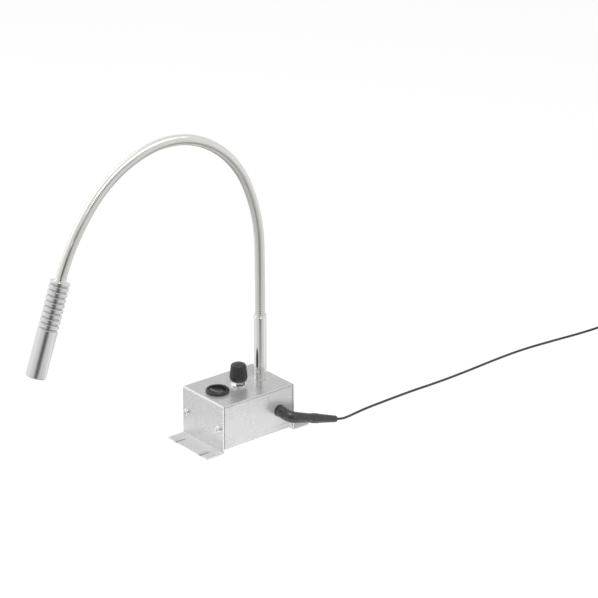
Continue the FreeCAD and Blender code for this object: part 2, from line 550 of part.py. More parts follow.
def hose_section(frame, after, first, last):
    """One ribbed section: hollow at its start and rounded at its end, where it meets its neighbours."""
    start, heading, turn = frame
    plain_start = 0.0 if first else HINGE_LAND
    plain_end = HOSE_SECTION if last else HOSE_SECTION - HINGE_LAND
    pitch = (plain_end - plain_start) / HOSE_RIBS
    stations = [(0.0, HOSE_ROOT_R)] if plain_start else []
    for i in range(HOSE_RIBS):
        low = plain_start + i * pitch
        land = pitch * RIB_LAND / 2
        rise = land / 2
        stations += [(low + land - rise, HOSE_ROOT_R), (low + land + rise, HOSE_R),
                     (low + pitch - land - rise, HOSE_R), (low + pitch - land + rise, HOSE_ROOT_R)]
    if first:
        stations[0] = (0.0, HOSE_ROOT_R)
    stations.append((HOSE_SECTION, HOSE_ROOT_R))
    wires = [circle_across(section_point(start, heading, turn, s), heading + turn * s / HOSE_SECTION, r)
             for s, r in stations]
    body = Part.makeLoft(wires, True, True)
    cuts = [curved_core(start, heading, turn, HOSE_BORE_R, 0.0, HOSE_SECTION)]
    if not last:
        end, forward = after[0], heading_vector(after[1])
        body = body.fuse(Part.makeSphere(HINGE_BALL_R, end))
        cuts.append(rod(HOSE_BORE_R, end, forward, HINGE_BALL_R + 1))
    if not first:
        cuts.append(Part.makeSphere(HINGE_BALL_R + CLEAR, start))
    for cut in cuts:
        body = body.cut(cut)
    return body


def make_arm():
    seat = FERRULE_TOP - HOSE_SEAT
    ferrule = rod(FERRULE_R, V(ARM_X, 0, BOX_H), Z, FERRULE_TOP - BOX_H)
    ferrule = ferrule.fuse(rod(STEM_R, V(ARM_X, 0, BOX_H - STEM_DEEP), Z, STEM_DEEP)).removeSplitter()
    ferrule = ferrule.cut(rod(FERRULE_BORE_R, V(ARM_X, 0, BOX_H - STEM_DEEP), Z, FERRULE_TOP))
    ferrule = ferrule.cut(rod(HOSE_ROOT_R + SLIP, V(ARM_X, 0, seat), Z, HOSE_SEAT))
    save("arm_ferrule", ferrule)
    save("arm_washer", ring(ARM_WASHER_R, STEM_R + SLIP, V(ARM_X, 0, TOP - ARM_WASHER_T), Z, ARM_WASHER_T))
    nut_low = TOP - ARM_WASHER_T - ARM_NUT_T
    save("arm_nut", hexagon(ARM_NUT_AF, STEM_R + SLIP, V(ARM_X, 0, nut_low), Z, ARM_NUT_T))
    save("arm_collar", ring(COLLAR_R, HOSE_R + SLIP, V(ARM_X, 0, FERRULE_TOP), Z, COLLAR_H))

    frames = hose_frames()
    count = len(HOSE_TURNS)
    for i in range(count):
        first, last = i == 0, i == count - 1
        hose = hose_section(frames[i], frames[i + 1], first, last)
        start, heading, turn = frames[i]
        lead = curved_core(start, heading, turn, LEAD_R, 0.0 if first else HINGE_BALL_R + CLEAR,
                           HOSE_SECTION - (0.0 if last else LEAD_STOP))
        if first:
            tail = ring(HOSE_ROOT_R, HOSE_BORE_R, V(ARM_X, 0, seat), Z, HOSE_SEAT)
            hose = hose.fuse(tail).removeSplitter()
            foot = BOX_H - STEM_DEEP - LEAD_TAIL
            lead = lead.fuse(rod(LEAD_R, V(ARM_X, 0, foot), Z, FERRULE_TOP - foot)).removeSplitter()
        if last:
            end, forward = frames[-1][0], heading_vector(frames[-1][1])
            lead = lead.fuse(rod(LEAD_R, end, forward, NECK_H + LED_AT)).removeSplitter()
        save("hose_%d" % (i + 1), hose)
        save("lamp_lead_%d" % (i + 1), lead)


def make_head():
    """The lamp head, made along +Z from its top, then laid along the end of the arm."""
    end, heading, _ = hose_frames()[-1]
    forward = heading_vector(heading)
    top = end + forward * NECK_H

    def place(name, *shapes):
        save(name, *[along(s, top, forward) for s in shapes])

    neck = rod(NECK_R, V(0, 0, -NECK_H), Z, NECK_H).fuse(rod(NECK_STEM_R, V(0, 0, 0), Z, NECK_STEM_L))
    lead_way = rod(LEAD_R + FIT, V(0, 0, -NECK_H), Z, NECK_H + NECK_STEM_L)
    place("head_neck", neck.removeSplitter().cut(lead_way))
    barrel = rod(HEAD_R, V(0, 0, 0), Z, HEAD_L)
    barrel = barrel.makeChamfer(HEAD_EDGE, [e for e in barrel.Edges if e.Length > HEAD_R * 4
                                            and len(e.Vertexes) == 1])
    cuts = [rod(NECK_STEM_R, V(0, 0, 0), Z, NECK_STEM_L), rod(LEAD_R + FIT, V(0, 0, 0), Z, LED_AT),
            rod(LAMP_CAVITY_R, V(0, 0, LED_AT), Z, HEAD_L), rod(LENS_SEAT_R, V(0, 0, LENS_AT), Z, HEAD_L)]
    for i in range(GROOVES):
        low = GROOVE_START + i * GROOVE_PITCH
        cuts.append(ring(HEAD_R + 1, HEAD_R - GROOVE_DEEP, V(0, 0, low), Z, GROOVE_W))
    place("head_barrel", barrel.cut(Part.makeCompound(cuts[:4])).cut(Part.makeCompound(cuts[4:])))
    place("led_board", rod(LED_BOARD_R, V(0, 0, LED_AT), Z, LED_BOARD_T))
    face = LED_AT + LED_BOARD_T
    led = box(-LED_SIZE / 2, LED_SIZE / 2, -LED_SIZE / 2, LED_SIZE / 2, face, face + LED_H)
    dome = Part.makeSphere(LED_DOME_R, V(0, 0, face + LED_H))
    place("led_chip", led.fuse(dome.cut(box(-9, 9, -9, 9, face - 9, face))).removeSplitter())
    lens_r = LENS_SEAT_R - SLIP
    bulge = (lens_r ** 2 + LENS_RISE ** 2) / (2 * LENS_RISE)
    lens = rod(lens_r, V(0, 0, LENS_AT), Z, LENS_T)
    crown = Part.makeSphere(bulge, V(0, 0, LENS_AT + LENS_RISE - bulge + LENS_T))
    crown = crown.common(rod(RING_BORE_R - SLIP, V(0, 0, LENS_AT + LENS_T - 0.5), Z, LENS_RISE + 1))
    place("lens", lens.fuse(crown).removeSplitter())
    place("lens_ring", ring(LENS_SEAT_R - SLIP, RING_BORE_R, V(0, 0, LENS_AT + LENS_T), Z, RING_T))


def make_plug():
    face = V(JACK_X, -BOX_W / 2 - JACK_FLANGE_T, JACK_Z)
    knee = face - Y * PLUG_FLAT
    nose = ELBOW - knee
    sleeve = ring(SLEEVE_R, SLEEVE_R - SLEEVE_WALL, face, Y, SLEEVE_L)
    core = ring(SLEEVE_R - SLEEVE_WALL, PIN_R + SLIP, face, Y, SLEEVE_L - CLEAR)
    save("plug_sleeve", sleeve)
    save("plug_insulator", core)
    run = BOOT_TIP - ELBOW
    whole = run.Length
    run.normalize()
    waist, ring_end = ELBOW + run * (whole * PLUG_WAIST_AT), ELBOW + run * (whole * PLUG_RING_AT)
    body = rod(PLUG_NOSE_R, face, Y * -1, PLUG_FLAT)
    body = body.fuse(Part.makeSphere(PLUG_NOSE_R, knee))
    body = body.fuse(cone(PLUG_NOSE_R, PLUG_ELBOW_R, knee, nose, nose.Length))
    body = body.fuse(Part.makeSphere(PLUG_ELBOW_R, ELBOW))
    body = body.fuse(cone(PLUG_ELBOW_R, PLUG_WAIST_R, ELBOW, run, whole * PLUG_WAIST_AT))
    body = body.fuse(rod(PLUG_RING_R, waist, run, (ring_end - waist).Length))
    body = body.cut(box(-BOX_L, BOX_L, face.y, BOX_W, 0, BOX_H))
    body = body.cut(rod(PIN_R + CLEAR, face - Y * PIN_TIP, Y, PIN_TIP))
    save("plug_body", body.removeSplitter())
    boot = cone(BOOT_R, BOOT_TIP_R, ring_end, run, whole * (1 - PLUG_RING_AT))
    cord_start, cord_next = V(*CORD_ROUTE[0]), V(*CORD_ROUTE[1])
    save("plug_boot", boot.cut(rod(CORD_D / 2, cord_start, cord_next - cord_start, CORD_D)))


def biarc(p0, t0, p1, t1):
    """Two tangent arcs from p0, heading t0, to p1, heading t1."""
    v, t = p1 - p0, t0 + t1
    a, b, c = 2 * (t0.dot(t1) - 1), -2 * v.dot(t), v.dot(v)
    reach = -c / b if abs(a) < 1e-9 else (-b - math.sqrt(b * b - 4 * a * c)) / (2 * a)
    q0, q1 = p0 + t0 * reach, p1 - t1 * reach
    joint = (q0 + q1) * 0.5
    edges = []
    for start, corner, end in ((p0, q0, joint), (joint, q1, p1)):
        chord = (start + end) * 0.5
        out = corner - chord
        half, rise = (start - chord).Length, out.Length
        if rise < 1e-6:
            edges.append(line(start, end))
            continue
        middle = chord + out * (half * math.tan(math.atan2(rise, half) / 2) / rise)
        edges.append(Part.Arc(start, middle, end).toShape())
    return edges


def coil_stations():
    """(point, heading) at each quarter turn: in, up, out, up, in, up, out, clockwise from above."""
    span = COIL_TURN_OUT - COIL_TURN_IN
    turns = span / COIL_PITCH
    quarters = int(round(turns * 4))
    centre_y = CORD_ROUTE[-1][1] - COIL_TURN_OUT
    radius, height, quarter, stations = COIL_TURN_OUT, COIL_LOW, 0, []

    def station(rate, climb):
        a = math.radians(90 - 90 * quarter)
        out, forward = V(math.cos(a), math.sin(a), 0), V(math.sin(a), -math.cos(a), 0)
        heading = forward + out * (rate / (2 * math.pi * radius)) + Z * climb
        heading.normalize()
        stations.append((V(COIL_X, centre_y, height) + out * radius, heading))

    station(0, 0)
    for layer, way in enumerate((-1, 1, -1, 1)):
        steps = quarters if layer < 3 else COIL_LAST_TURNS * 4
        for i in range(steps):
            quarter += 1
            radius += way * span / quarters
            station(0 if i == steps - 1 else way * COIL_PITCH, 0)
        if layer < 3:
            for part, slope in ((0.5, 1.5), (0.5, 0)):
                quarter += 1
                height += COIL_LAYER * part
                station(0, slope * COIL_LAYER / (math.pi * radius))
    return stations


def least_gap(edges, diameter):
    """The smallest gap between turns of a tube, measured on points along its middle line."""
    points, run, walked = [], [], 0.0
    for edge in edges:
        count = max(2, int(edge.Length / 1.2))
        for p in edge.discretize(count + 1)[:-1]:
            points.append(p)
            run.append(walked)
            walked += edge.Length / count
    least = 1e9
    for i, p in enumerate(points):
        for j in range(i + 1, len(points)):
            if run[j] - run[i] > 4 * diameter:
                least = min(least, (p - points[j]).Length)
    return least - diameter


def make_cord():
    route = [V(*p) for p in CORD_ROUTE]
    radii = largest_radii(route)
    print("cord radii, mm:", " ".join("%.0f" % r for r in radii))
    edges = rounded_path(route, radii)
    tube = pipe(edges, CORD_D / 2)
    length = sum(e.Length for e in edges)
    section = math.pi * CORD_D ** 2 / 4
    print("cord: %.1f mm, volume over section and length %.4f" % (length, tube.Volume / (section * length)))
    save("cord", tube)

    stations = coil_stations()
    (first, _), (last, heading) = stations[0], stations[-1]
    inlet = V(ADAPTOR_X - RELIEF_L, last.y, last.z)
    coil = [line(route[-1], first)]
    for (p0, t0), (p1, t1) in zip(stations, stations[1:]):
        coil += biarc(p0, t0, p1, t1)
    coil.append(line(last, inlet))
    wound = pipe(coil, CORD_D / 2)
    coiled = sum(e.Length for e in coil)
    print("coil: %.1f mm, volume ratio %.4f" % (coiled, wound.Volume / (section * coiled)))
    print("coil: least gap to itself %.2f mm" % least_gap(coil, CORD_D))
    print("whole cord: %.0f mm" % (length + coiled))
    save("cord_coil", wound)

    centre_y = CORD_ROUTE[-1][1] - COIL_TURN_OUT
    slack = CORD_D / 2 + TIE_GAP
    near, far = centre_y - COIL_TURN_IN + slack, centre_y - COIL_TURN_OUT - slack
    low, high = COIL_LOW - slack, COIL_LOW + 3 * COIL_LAYER + slack
    band = box(COIL_X - TIE_W / 2, COIL_X + TIE_W / 2, far - TIE_T, near + TIE_T, low - TIE_T, high + TIE_T)
    save("cord_tie", band.cut(box(COIL_X - TIE_W, COIL_X + TIE_W, far, near, low, high)))

    front, back = inlet.y - ADAPTOR_W / 2, inlet.y + ADAPTOR_W / 2
    case = box(ADAPTOR_X, ADAPTOR_X + ADAPTOR_L, front, back, 0, ADAPTOR_H)
    case = case.makeFillet(ADAPTOR_EDGE, [e for e in case.Edges if abs(e.tangentAt(0).x) > 0.9])
    case = case.fuse(cone(CORD_D / 2 + RELIEF_WALL, RELIEF_R, inlet, X, RELIEF_L)).removeSplitter()
    prongs = []
    for side in (-1, 1):
        x, z = ADAPTOR_X + ADAPTOR_L / 2, ADAPTOR_H / 2 + side * PRONG_PITCH / 2
        prongs.append(box(x - PRONG_W / 2, x + PRONG_W / 2, back, back + PRONG_L,
                          z - PRONG_T / 2, z + PRONG_T / 2))
    save("adaptor_case", case)
    save("adaptor_prongs", *prongs)


def main():
    os.makedirs("parts", exist_ok=True)
    make_box()
    make_switch()
    make_brightness_control()
    make_socket()
    make_driver()
    make_arm()
    make_head()
    make_plug()
    make_cord()
    for i, (point, heading, _) in enumerate(hose_frames()):
        print("hinge %d at (%.3f, %.3f, %.3f), heading %.2f" % (i, point.x, point.y, point.z, heading))


main()
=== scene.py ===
"""The looks of a bench spot illuminator: its finishes, its fine shapes and its supply cord.

Metres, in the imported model's own frame: +X runs from the rocker switch towards the arm, -Y out of the
front panel, +Z up. Outlines and places are written in millimetres and are scaled when a piece is made.
"""
import json
import math

import bmesh
import bpy
from mathutils import Matrix, Vector


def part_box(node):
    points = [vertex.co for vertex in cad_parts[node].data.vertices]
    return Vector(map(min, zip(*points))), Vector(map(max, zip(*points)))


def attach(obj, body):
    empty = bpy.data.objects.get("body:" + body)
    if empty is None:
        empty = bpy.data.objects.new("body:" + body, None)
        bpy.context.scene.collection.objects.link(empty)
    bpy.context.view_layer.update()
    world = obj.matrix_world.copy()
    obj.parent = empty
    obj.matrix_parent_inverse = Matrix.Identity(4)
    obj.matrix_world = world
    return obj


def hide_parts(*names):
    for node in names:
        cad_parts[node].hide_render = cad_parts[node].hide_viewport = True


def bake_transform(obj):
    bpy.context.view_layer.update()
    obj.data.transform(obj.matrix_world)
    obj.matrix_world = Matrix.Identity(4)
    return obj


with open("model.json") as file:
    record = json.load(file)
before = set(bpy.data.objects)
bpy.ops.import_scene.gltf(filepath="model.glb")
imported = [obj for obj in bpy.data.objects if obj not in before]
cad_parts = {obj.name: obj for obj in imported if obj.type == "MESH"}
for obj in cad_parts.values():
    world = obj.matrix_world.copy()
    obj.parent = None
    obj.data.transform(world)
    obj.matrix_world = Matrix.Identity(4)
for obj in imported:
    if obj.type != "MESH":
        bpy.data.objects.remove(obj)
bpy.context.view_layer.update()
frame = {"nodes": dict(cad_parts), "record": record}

MM = 0.001
RIGHT = Vector((1, 0, 0))
FRONT = Vector((0, -1, 0))
UP = Vector((0, 0, 1))

# Camera, for a photograph that is PHOTO pixels square
PHOTO, FOCUS_PX, SENSOR = 598, 2400, 36.0
VIEW_AZIMUTH, VIEW_ELEVATION, VIEW_ROLL = -39.76, 22.3, 0.26
VIEW_DISTANCE = 1.866
VIEW_TARGET = Vector((60.24, 0.0, 95.93)) * MM

# Studio: a white floor and surround, which metal shows with soft grey parts, and three lamps
FLOOR_REACH, FLOOR_DROP = 6.0, 0.00005
FLOOR_WHITE, FLOOR_SHADE = 0.91, 0.28  # the floor's own white, and how much of the lamps' light it adds
SLOT_SHADE = 0.85                      # how much darker the floor is in the feet's slots: a painted shadow
NEAR_MIDDLE = (0.0, -0.02, 0.0)
NEAR_FLOOR, FAR_FLOOR = 0.055, 0.095   # between these, metal stops seeing the floor and sees the surround
SURROUND = 0.18                        # the surround's light on the object

# What metal sees round it. Ways round are in degrees from the camera, heights are the ray's upward part,
# and each edge runs from its first number to its second.
GAP_MIDDLE, GAP_EDGE = 2.0, (15.0, 27.0)
SIDES_EDGE, BEHIND_EDGE = (55.0, 78.0), (95.0, 125.0)
HIGH_EDGE, LEVEL_EDGE, STEEP_EDGE = (0.55, 0.8), (-0.35, -0.2), (-0.66, -0.42)
BAND_FOOT, BAND_HEAD = (0.08, 0.2), (0.42, 0.6)
GAP_DARK, GAP_LEVEL_DARK, SIDES_DARK, STEEP_DARK, BAND_DARK = 0.58, 0.36, 0.2, 0.55, 0.09

# Lamps: name, azimuth, elevation, distance, size, power, seen in metal
LAMPS = [
    ("key", -44.0, 22.0, 1.4, 1.0, 11.6, False),
    ("rear", -152.0, 36.0, 1.2, 0.95, 1.9, True),
    ("overhead", -25.0, 66.0, 1.3, 0.5, 3.0, True),
]

# Cord: the free stretch's points, then the put-away coil, as the model has them
CORD_D = 2.0
CORD_ROUTE = [
    (65.5, -39.4, 5.9), (71.2, -39.58, 4.12), (83.0, -36.2, 2.4), (100.0, -33.0, 1.9), (124.0, -31.4, 1.5),
    (152.0, -30.0, 1.15), (182.0, -30.6, 1.05), (214.0, -29.6, 1.05), (248.0, -27.2, 1.05),
    (281.0, -26.2, 1.05), (313.0, -29.0, 1.05), (340.0, -32.6, 1.3), (360.0, -34.8, 1.8),
    (373.0, -35.0, 2.0),
]
COIL_TURN_IN, COIL_TURN_OUT, COIL_PITCH, COIL_LAYER = 7.1, 16.9, 2.8, 2.6
COIL_X, COIL_LOW, COIL_LAST_TURNS = 379.0, 2.0, 3
COIL_STEPS = 16        # points in each turn
INLET_X = 402.0        # where the cord enters the adaptor's strain relief

# Plug
PLUG_ELBOW = Vector((20.3, -38.0, 20.0))
PLUG_FLAT, PLUG_NOSE_R, PLUG_ELBOW_R, PLUG_WAIST_R, PLUG_RING_R = 3.0, 4.5, 4.6, 3.7, 4.0
PLUG_WAIST_AT, PLUG_RING_AT = 0.46, 0.58
BOOT_R, BOOT_TIP_R = 3.8, 2.6
ELBOW_ROUND = 6.5      # how far from the corner its bend starts
PARTING, PARTING_FROM = 0.07, 0.97     # the moulding line's height, and the sine at which it starts

# The tie round the coil
TIE_THICK, TIE_CORNER, TIE_SIDES = 0.6, 1.6, 72

# Panels: the front face, the seam beside it, the cover's cut edge and the feet's ends
PANEL_Y, SEAM_X, CUT_X, FOOT_END = 25.0, 33.45, 33.8, 50.0

# Switch and knob
ROCKER_TILT, ROCKER_DISH = 12.0, 4.0
WELL_R, WELL_DEEP, BODY_R, BODY_DEEP = 7.1, 7.1, 8.0, 14.0
PIVOT_UP, CREASE_UP, ROCKER_DOWN, ROCKER_R, ROCKER_EDGE, PIVOT_R = 0.5, 0.8, 3.0, 6.8, 0.45, 1.1
ROCKER_SIDES = 96
KNOB_FOOT_R, KNOB_FLARE_H, KNOB_TOP_R, KNOB_DOME_H = 6.1, 2.6, 5.9, 1.8
KNOB_RIBS, KNOB_RIB_DEEP = 24, 0.3
BUSH_R, SHAFT_R = 3.5, 3.0

# Arm: lengths along its centre line, from the top of the ferrule
HOSE_SECTION, HOSE_SEAT = 56.65, 12.0
HOSE_TURNS = (1.1, 24.2, 38.4, 43.9, 32.3, 20.4)
HOSE_R, HOSE_BORE_R, HOSE_GROOVE = 4.0, 2.5, 0.26
HOSE_WIRE = 1.45       # from one turn of the winding to the next
HOSE_STEPS = 8         # rings in each turn of the winding
HOSE_SIDES = 40
HOSE_REACH = 24.0      # how far each side of a hinge the end points of its stretch are taken
LEAD_R = 1.7
STEM_BORE_R, STEM_R, SEAT_R, COLLAR_BORE_R = 2.6, 4.0, 3.75, 4.05  # of the ferrule and its collar
ARM_BODIES = ("base", "arm_2", "arm_3", "arm_4", "arm_5", "lamp")

# Lamp head
HEAD_R, HEAD_L = 7.5, 72.0
GROOVES, GROOVE_PITCH, GROOVE_W, GROOVE_DEEP, GROOVE_START = 9, 4.05, 1.6, 1.3, 1.9
NECK_R, NECK_H, NECK_STEM_R, NECK_STEM_L = 5.0, 0.8, 4.0, 8.0
LED_AT, LENS_AT, LAMP_CAVITY_R, LENS_SEAT_R, LEAD_WAY_R = 43.0, 63.0, 5.2, 6.0, 1.9


class Level:
    """One socket of a layout's nodes. Sums on it add Math nodes."""

    def __init__(self, tree, socket):
        self.tree, self.socket = tree, socket

    def math(self, operation, *values):
        maths = self.tree.nodes.new("ShaderNodeMath")
        maths.operation = operation
        for slot, value in zip(maths.inputs, values):
            link_or_set(self.tree, slot, value)
        return Level(self.tree, maths.outputs[0])

    def __add__(self, other):
        return self.math("ADD", self, other)

    def __radd__(self, other):
        return self.math("ADD", other, self)

    def __sub__(self, other):
        return self.math("SUBTRACT", self, other)

    def __rsub__(self, other):
        return self.math("SUBTRACT", other, self)

    def __mul__(self, other):
        return self.math("MULTIPLY", self, other)

    def __rmul__(self, other):
        return self.math("MULTIPLY", other, self)

    def __abs__(self):
        return self.math("ABSOLUTE", self)


def link_or_set(tree, socket, value):
    if isinstance(value, Level):
        tree.links.new(value.socket, socket)
    else:
        socket.default_value = value


class Layout:
    """A node tree that is written as expressions."""

    def __init__(self, tree):
        self.tree = tree

    def node(self, kind, settings, values, output=0):
        """A node of that type, with its settings, then the values or links of its sockets."""
        made = self.tree.nodes.new(kind)
        for setting, value in settings.items():
            setattr(made, setting, value)
        for socket, value in values.items():
            link_or_set(self.tree, made.inputs[socket], value)
        return Level(self.tree, made.outputs[output])

    def place(self, *scale):
        """The place on the object, stretched by a scale for each axis."""
        where = self.node("ShaderNodeTexCoord", {}, {}, "Object")
        if not scale:
            return where
        return self.node("ShaderNodeVectorMath", {"operation": "MULTIPLY"}, {0: where, 1: scale})

    def along(self, vector, axis):
        return self.node("ShaderNodeVectorMath", {"operation": "DOT_PRODUCT"}, {0: vector, 1: axis}, "Value")

    def noise(self, per_metre, detail=2.0, vector=None):
        """Noise from 0 to 1, with that many lumps to the metre."""
        values = {"Scale": per_metre, "Detail": detail, "Vector": vector or self.place()}
        return self.node("ShaderNodeTexNoise", {}, values, "Fac")

    def ease(self, level, low, high):
        """0 below low, 1 above high, and smooth between them."""
        values = {"Value": level, "From Min": low, "From Max": high}
        return self.node("ShaderNodeMapRange", {"interpolation_type": "SMOOTHSTEP"}, values)

    def blend(self, share, first, second):
        """A colour that goes from first to second."""
        return self.node("ShaderNodeMix", {"data_type": "RGBA"}, {0: share, 6: first, 7: second}, 2)

    def seen(self, ray):
        return self.node("ShaderNodeLightPath", {}, {}, "Is %s Ray" % ray)


class Finish(Layout):
    """A material on its Principled shader. own sets the shader's constant sockets."""

    def __init__(self, name, slot, **own):
        self.slot = slot
        self.material = bpy.data.materials.new(name)
        self.material.use_nodes = True
        super().__init__(self.material.node_tree)
        self.shader = self.tree.nodes["Principled BSDF"]
        for socket, value in own.items():
            self.shader.inputs[socket.replace("_", " ")].default_value = value

    def feed(self, **links):
        for socket, level in links.items():
            self.tree.links.new(level.socket, self.shader.inputs[socket.replace("_", " ")])
        return self

    def bump(self, height, depth):
        """Surface relief: height is a level, depth its size in metres."""
        values = {"Height": height, "Distance": depth, "Strength": 1.0}
        return self.feed(Normal=self.node("ShaderNodeBump", {}, values))


def grey(value, warm=0.0):
    """A grey colour, with its red raised and its blue lowered by warm."""
    return (value + warm, value + warm / 3, value - warm, 1.0)


def panel_finish():
    """Satin sheet with faint grain and wiped patches, painted highlight on its cut edges and feet, and
    painted shade along its seam and in its folds at the feet.
    """
    made = Finish("satin_panel", "panel")
    grain = made.noise(900.0, 3.0, made.place(0.12, 1.0, 1.0))
    wiped = made.ease(made.noise(38.0, 3.0), 0.35, 0.7)
    across = abs(made.along(made.place(), RIGHT)) * (1 / MM)
    outwards = made.along(made.place(), FRONT) * (1 / MM)
    height = made.along(made.place(), UP) * (1 / MM)
    facing = made.ease(outwards, PANEL_Y - 0.3, PANEL_Y - 0.2)
    past_seam = made.ease(across, CUT_X - 0.1, CUT_X)
    # Painted shade: a dark strip on the front panel beside its seam, where the gap's shadow falls. It also
    # makes the strip rougher and less metallic.
    seam_shade = facing * made.ease(across, SEAM_X - 0.5, SEAM_X - 0.25) * (1.0 - past_seam)
    cut = facing * past_seam
    # Painted shade: the bend from each end plate into its foot is darkened in colour, and also made rougher
    # and less metallic.
    above_foot = made.ease(height, 1.0, 1.3)
    fold_shade = made.ease(across, CUT_X, CUT_X + 0.3) * (1.0 - made.ease(height, 2.4, 4.6)) * above_foot
    sheet = made.blend(wiped * 0.5 + grain * 0.3, grey(0.77, -0.006), grey(0.83, -0.004))
    foot = (1.0 - made.ease(height, 1.3, 1.6)) * made.ease(across, CUT_X, CUT_X + 2.0)
    # Painted highlight: the panel's cut edges and the feet are paled towards white, to look lit.
    painted_highlight = cut.math("MAXIMUM", cut, foot * 0.7)
    marked = made.blend(seam_shade, made.blend(painted_highlight, sheet, grey(0.96)), grey(0.30))
    made.feed(Base_Color=made.blend(fold_shade * 0.25, marked, grey(0.62)))
    made.feed(Metallic=0.45 - seam_shade * 0.4 - fold_shade * 0.3)
    made.feed(Roughness=0.24 + wiped * 0.05 + grain * 0.05 + seam_shade * 0.4 + fold_shade * 0.4)
    return made.bump(grain, 0.000001)


def nickel_finish():
    """Polished plating, faintly warm, with fine draw lines."""
    made = Finish("polished_nickel", "bright_metal", Metallic=1.0)
    lines = made.noise(2600.0, 2.0, made.place(1.0, 1.0, 0.03))
    haze = made.noise(60.0, 3.0)
    made.feed(Base_Color=made.blend(haze, grey(0.89, 0.022), grey(0.94, 0.018)))
    made.feed(Roughness=0.08 + lines * 0.06 + haze * 0.05)
    return made.bump(lines, 0.0000006)


def hose_finish():
    """Wound stainless wire, bright on its crests."""
    made = Finish("wound_steel", "hose_metal", Metallic=1.0)
    handled = made.noise(70.0, 3.0)
    fine = made.noise(1500.0, 2.0)
    made.feed(Base_Color=made.blend(handled, grey(0.85, 0.035), grey(0.91, 0.028)))
    made.feed(Roughness=0.10 + handled * 0.06 + fine * 0.04)
    return made


def aluminium_finish(top, axis):
    """Turned aluminium, with the tool's fine rings across its axis and painted shade in its grooves."""
    made = Finish("turned_aluminium", "lamp_aluminium", Metallic=1.0)
    run = made.along(made.place(), axis) - axis.dot(top)
    values = {"W": run, "Scale": 5200.0, "Detail": 2.0}
    rings = made.node("ShaderNodeTexNoise", {"noise_dimensions": "1D"}, values, "Fac")
    patch = made.noise(55.0, 3.0)
    turns = run * (1 / MM / GROOVE_PITCH) - GROOVE_START / GROOVE_PITCH
    turn = turns.math("FRACT", turns)
    share = GROOVE_W / GROOVE_PITCH
    cut = made.ease(turn, 0.0, 0.04) * (1.0 - made.ease(turn, share - 0.04, share))
    start, end = GROOVE_START * MM, (GROOVE_START + GROOVES * GROOVE_PITCH) * MM
    finned = made.ease(run, start - 0.2 * MM, start) * (1.0 - made.ease(run, end - 1.0 * MM, end))
    # Painted shade: the grooves between the fins are darkened in colour, where shade falls between the fins.
    groove = cut * finned
    bright = made.blend(patch, grey(0.91), grey(0.95))
    made.feed(Base_Color=made.blend(groove * 0.6, bright, grey(0.30)))
    made.feed(Roughness=0.25 + rings * 0.10 + patch * 0.05)
    return made.bump(rings, 0.0000010)


def plastic_finish(name, slot, low, high, rough, lumps, depth, sheen=0.5):
    """Dark moulded plastic or rubber, with a fine texture and slightly paler scuffs."""
    made = Finish(name, slot, Specular_IOR_Level=sheen)
    texture = made.noise(lumps, 3.0)
    scuff = made.ease(made.noise(150.0, 4.0), 0.45, 0.75)
    made.feed(Base_Color=made.blend(scuff * 0.7 + texture * 0.3, grey(low), grey(high)))
    made.feed(Roughness=rough - 0.06 + texture * 0.10 + scuff * 0.08)
    return made.bump(texture, depth)


def plain_metal_finish(name, slot, first, second, rough):
    """Small plated pieces, with a slight mottle."""
    made = Finish(name, slot, Metallic=1.0)
    mottle = made.noise(420.0, 3.0)
    made.feed(Base_Color=made.blend(mottle, first, second))
    made.feed(Roughness=rough + mottle * 0.1)
    return made


def board_finish():
    """Green solder mask with paler tracks."""
    made = Finish("solder_mask", "circuit_board", Roughness=0.35)
    tracks = made.node("ShaderNodeTexBrick", {}, {"Vector": made.place(), "Scale": 220.0}, "Fac")
    made.feed(Base_Color=made.blend(tracks, (0.02, 0.16, 0.07, 1), (0.04, 0.24, 0.11, 1)))
    return made


def lens_finish():
    made = Finish("clear_lens", "lens_clear", Transmission_Weight=1.0, IOR=1.49)
    return made.feed(Roughness=0.02 + made.noise(300.0) * 0.03)


def glow_finish():
    made = Finish("phosphor", "led_yellow")
    cells = made.noise(2500.0)
    made.feed(Base_Color=made.blend(cells, (0.85, 0.62, 0.10, 1), (0.95, 0.78, 0.25, 1)))
    return made.feed(Roughness=0.25 + cells * 0.2)


def plate_finish(half_size, centre):
    """The small white plate, with a thin printed border and nothing in it."""
    made = Finish("white_plate", "label_white")
    fibre = made.noise(1800.0, 3.0)
    edge = None
    for axis, line_at, half in zip((RIGHT, UP), centre, half_size):
        from_edge = half - abs(made.along(made.place(), axis) - line_at)
        edge = from_edge if edge is None else edge.math("MINIMUM", edge, from_edge)
    line = 1.0 - made.ease(abs(edge - 0.0007), 0.00008, 0.00016)
    paper = made.blend(fibre, grey(0.92), grey(0.97))
    made.feed(Base_Color=made.blend(line * 0.6, paper, grey(0.30)))
    return made.feed(Roughness=0.5 + fibre * 0.15)


def eased(outline, joined=False, steps=4):
    """The outline with each corner (radius, height, rounding) rounded by that much."""
    points, count = [], len(outline)
    for i, (radius, height, rounding) in enumerate(outline):
        corner = Vector((radius, height))
        if not rounding or (not joined and i in (0, count - 1)):
            points.append(corner)
            continue
        back = Vector(outline[i - 1][:2]) - corner
        ahead = Vector(outline[(i + 1) % count][:2]) - corner
        start, end = corner + back.normalized() * rounding, corner + ahead.normalized() * rounding
        for k in range(steps + 1):
            t = k / steps
            points.append(start * (1 - t) ** 2 + corner * 2 * t * (1 - t) + end * t * t)
    return points


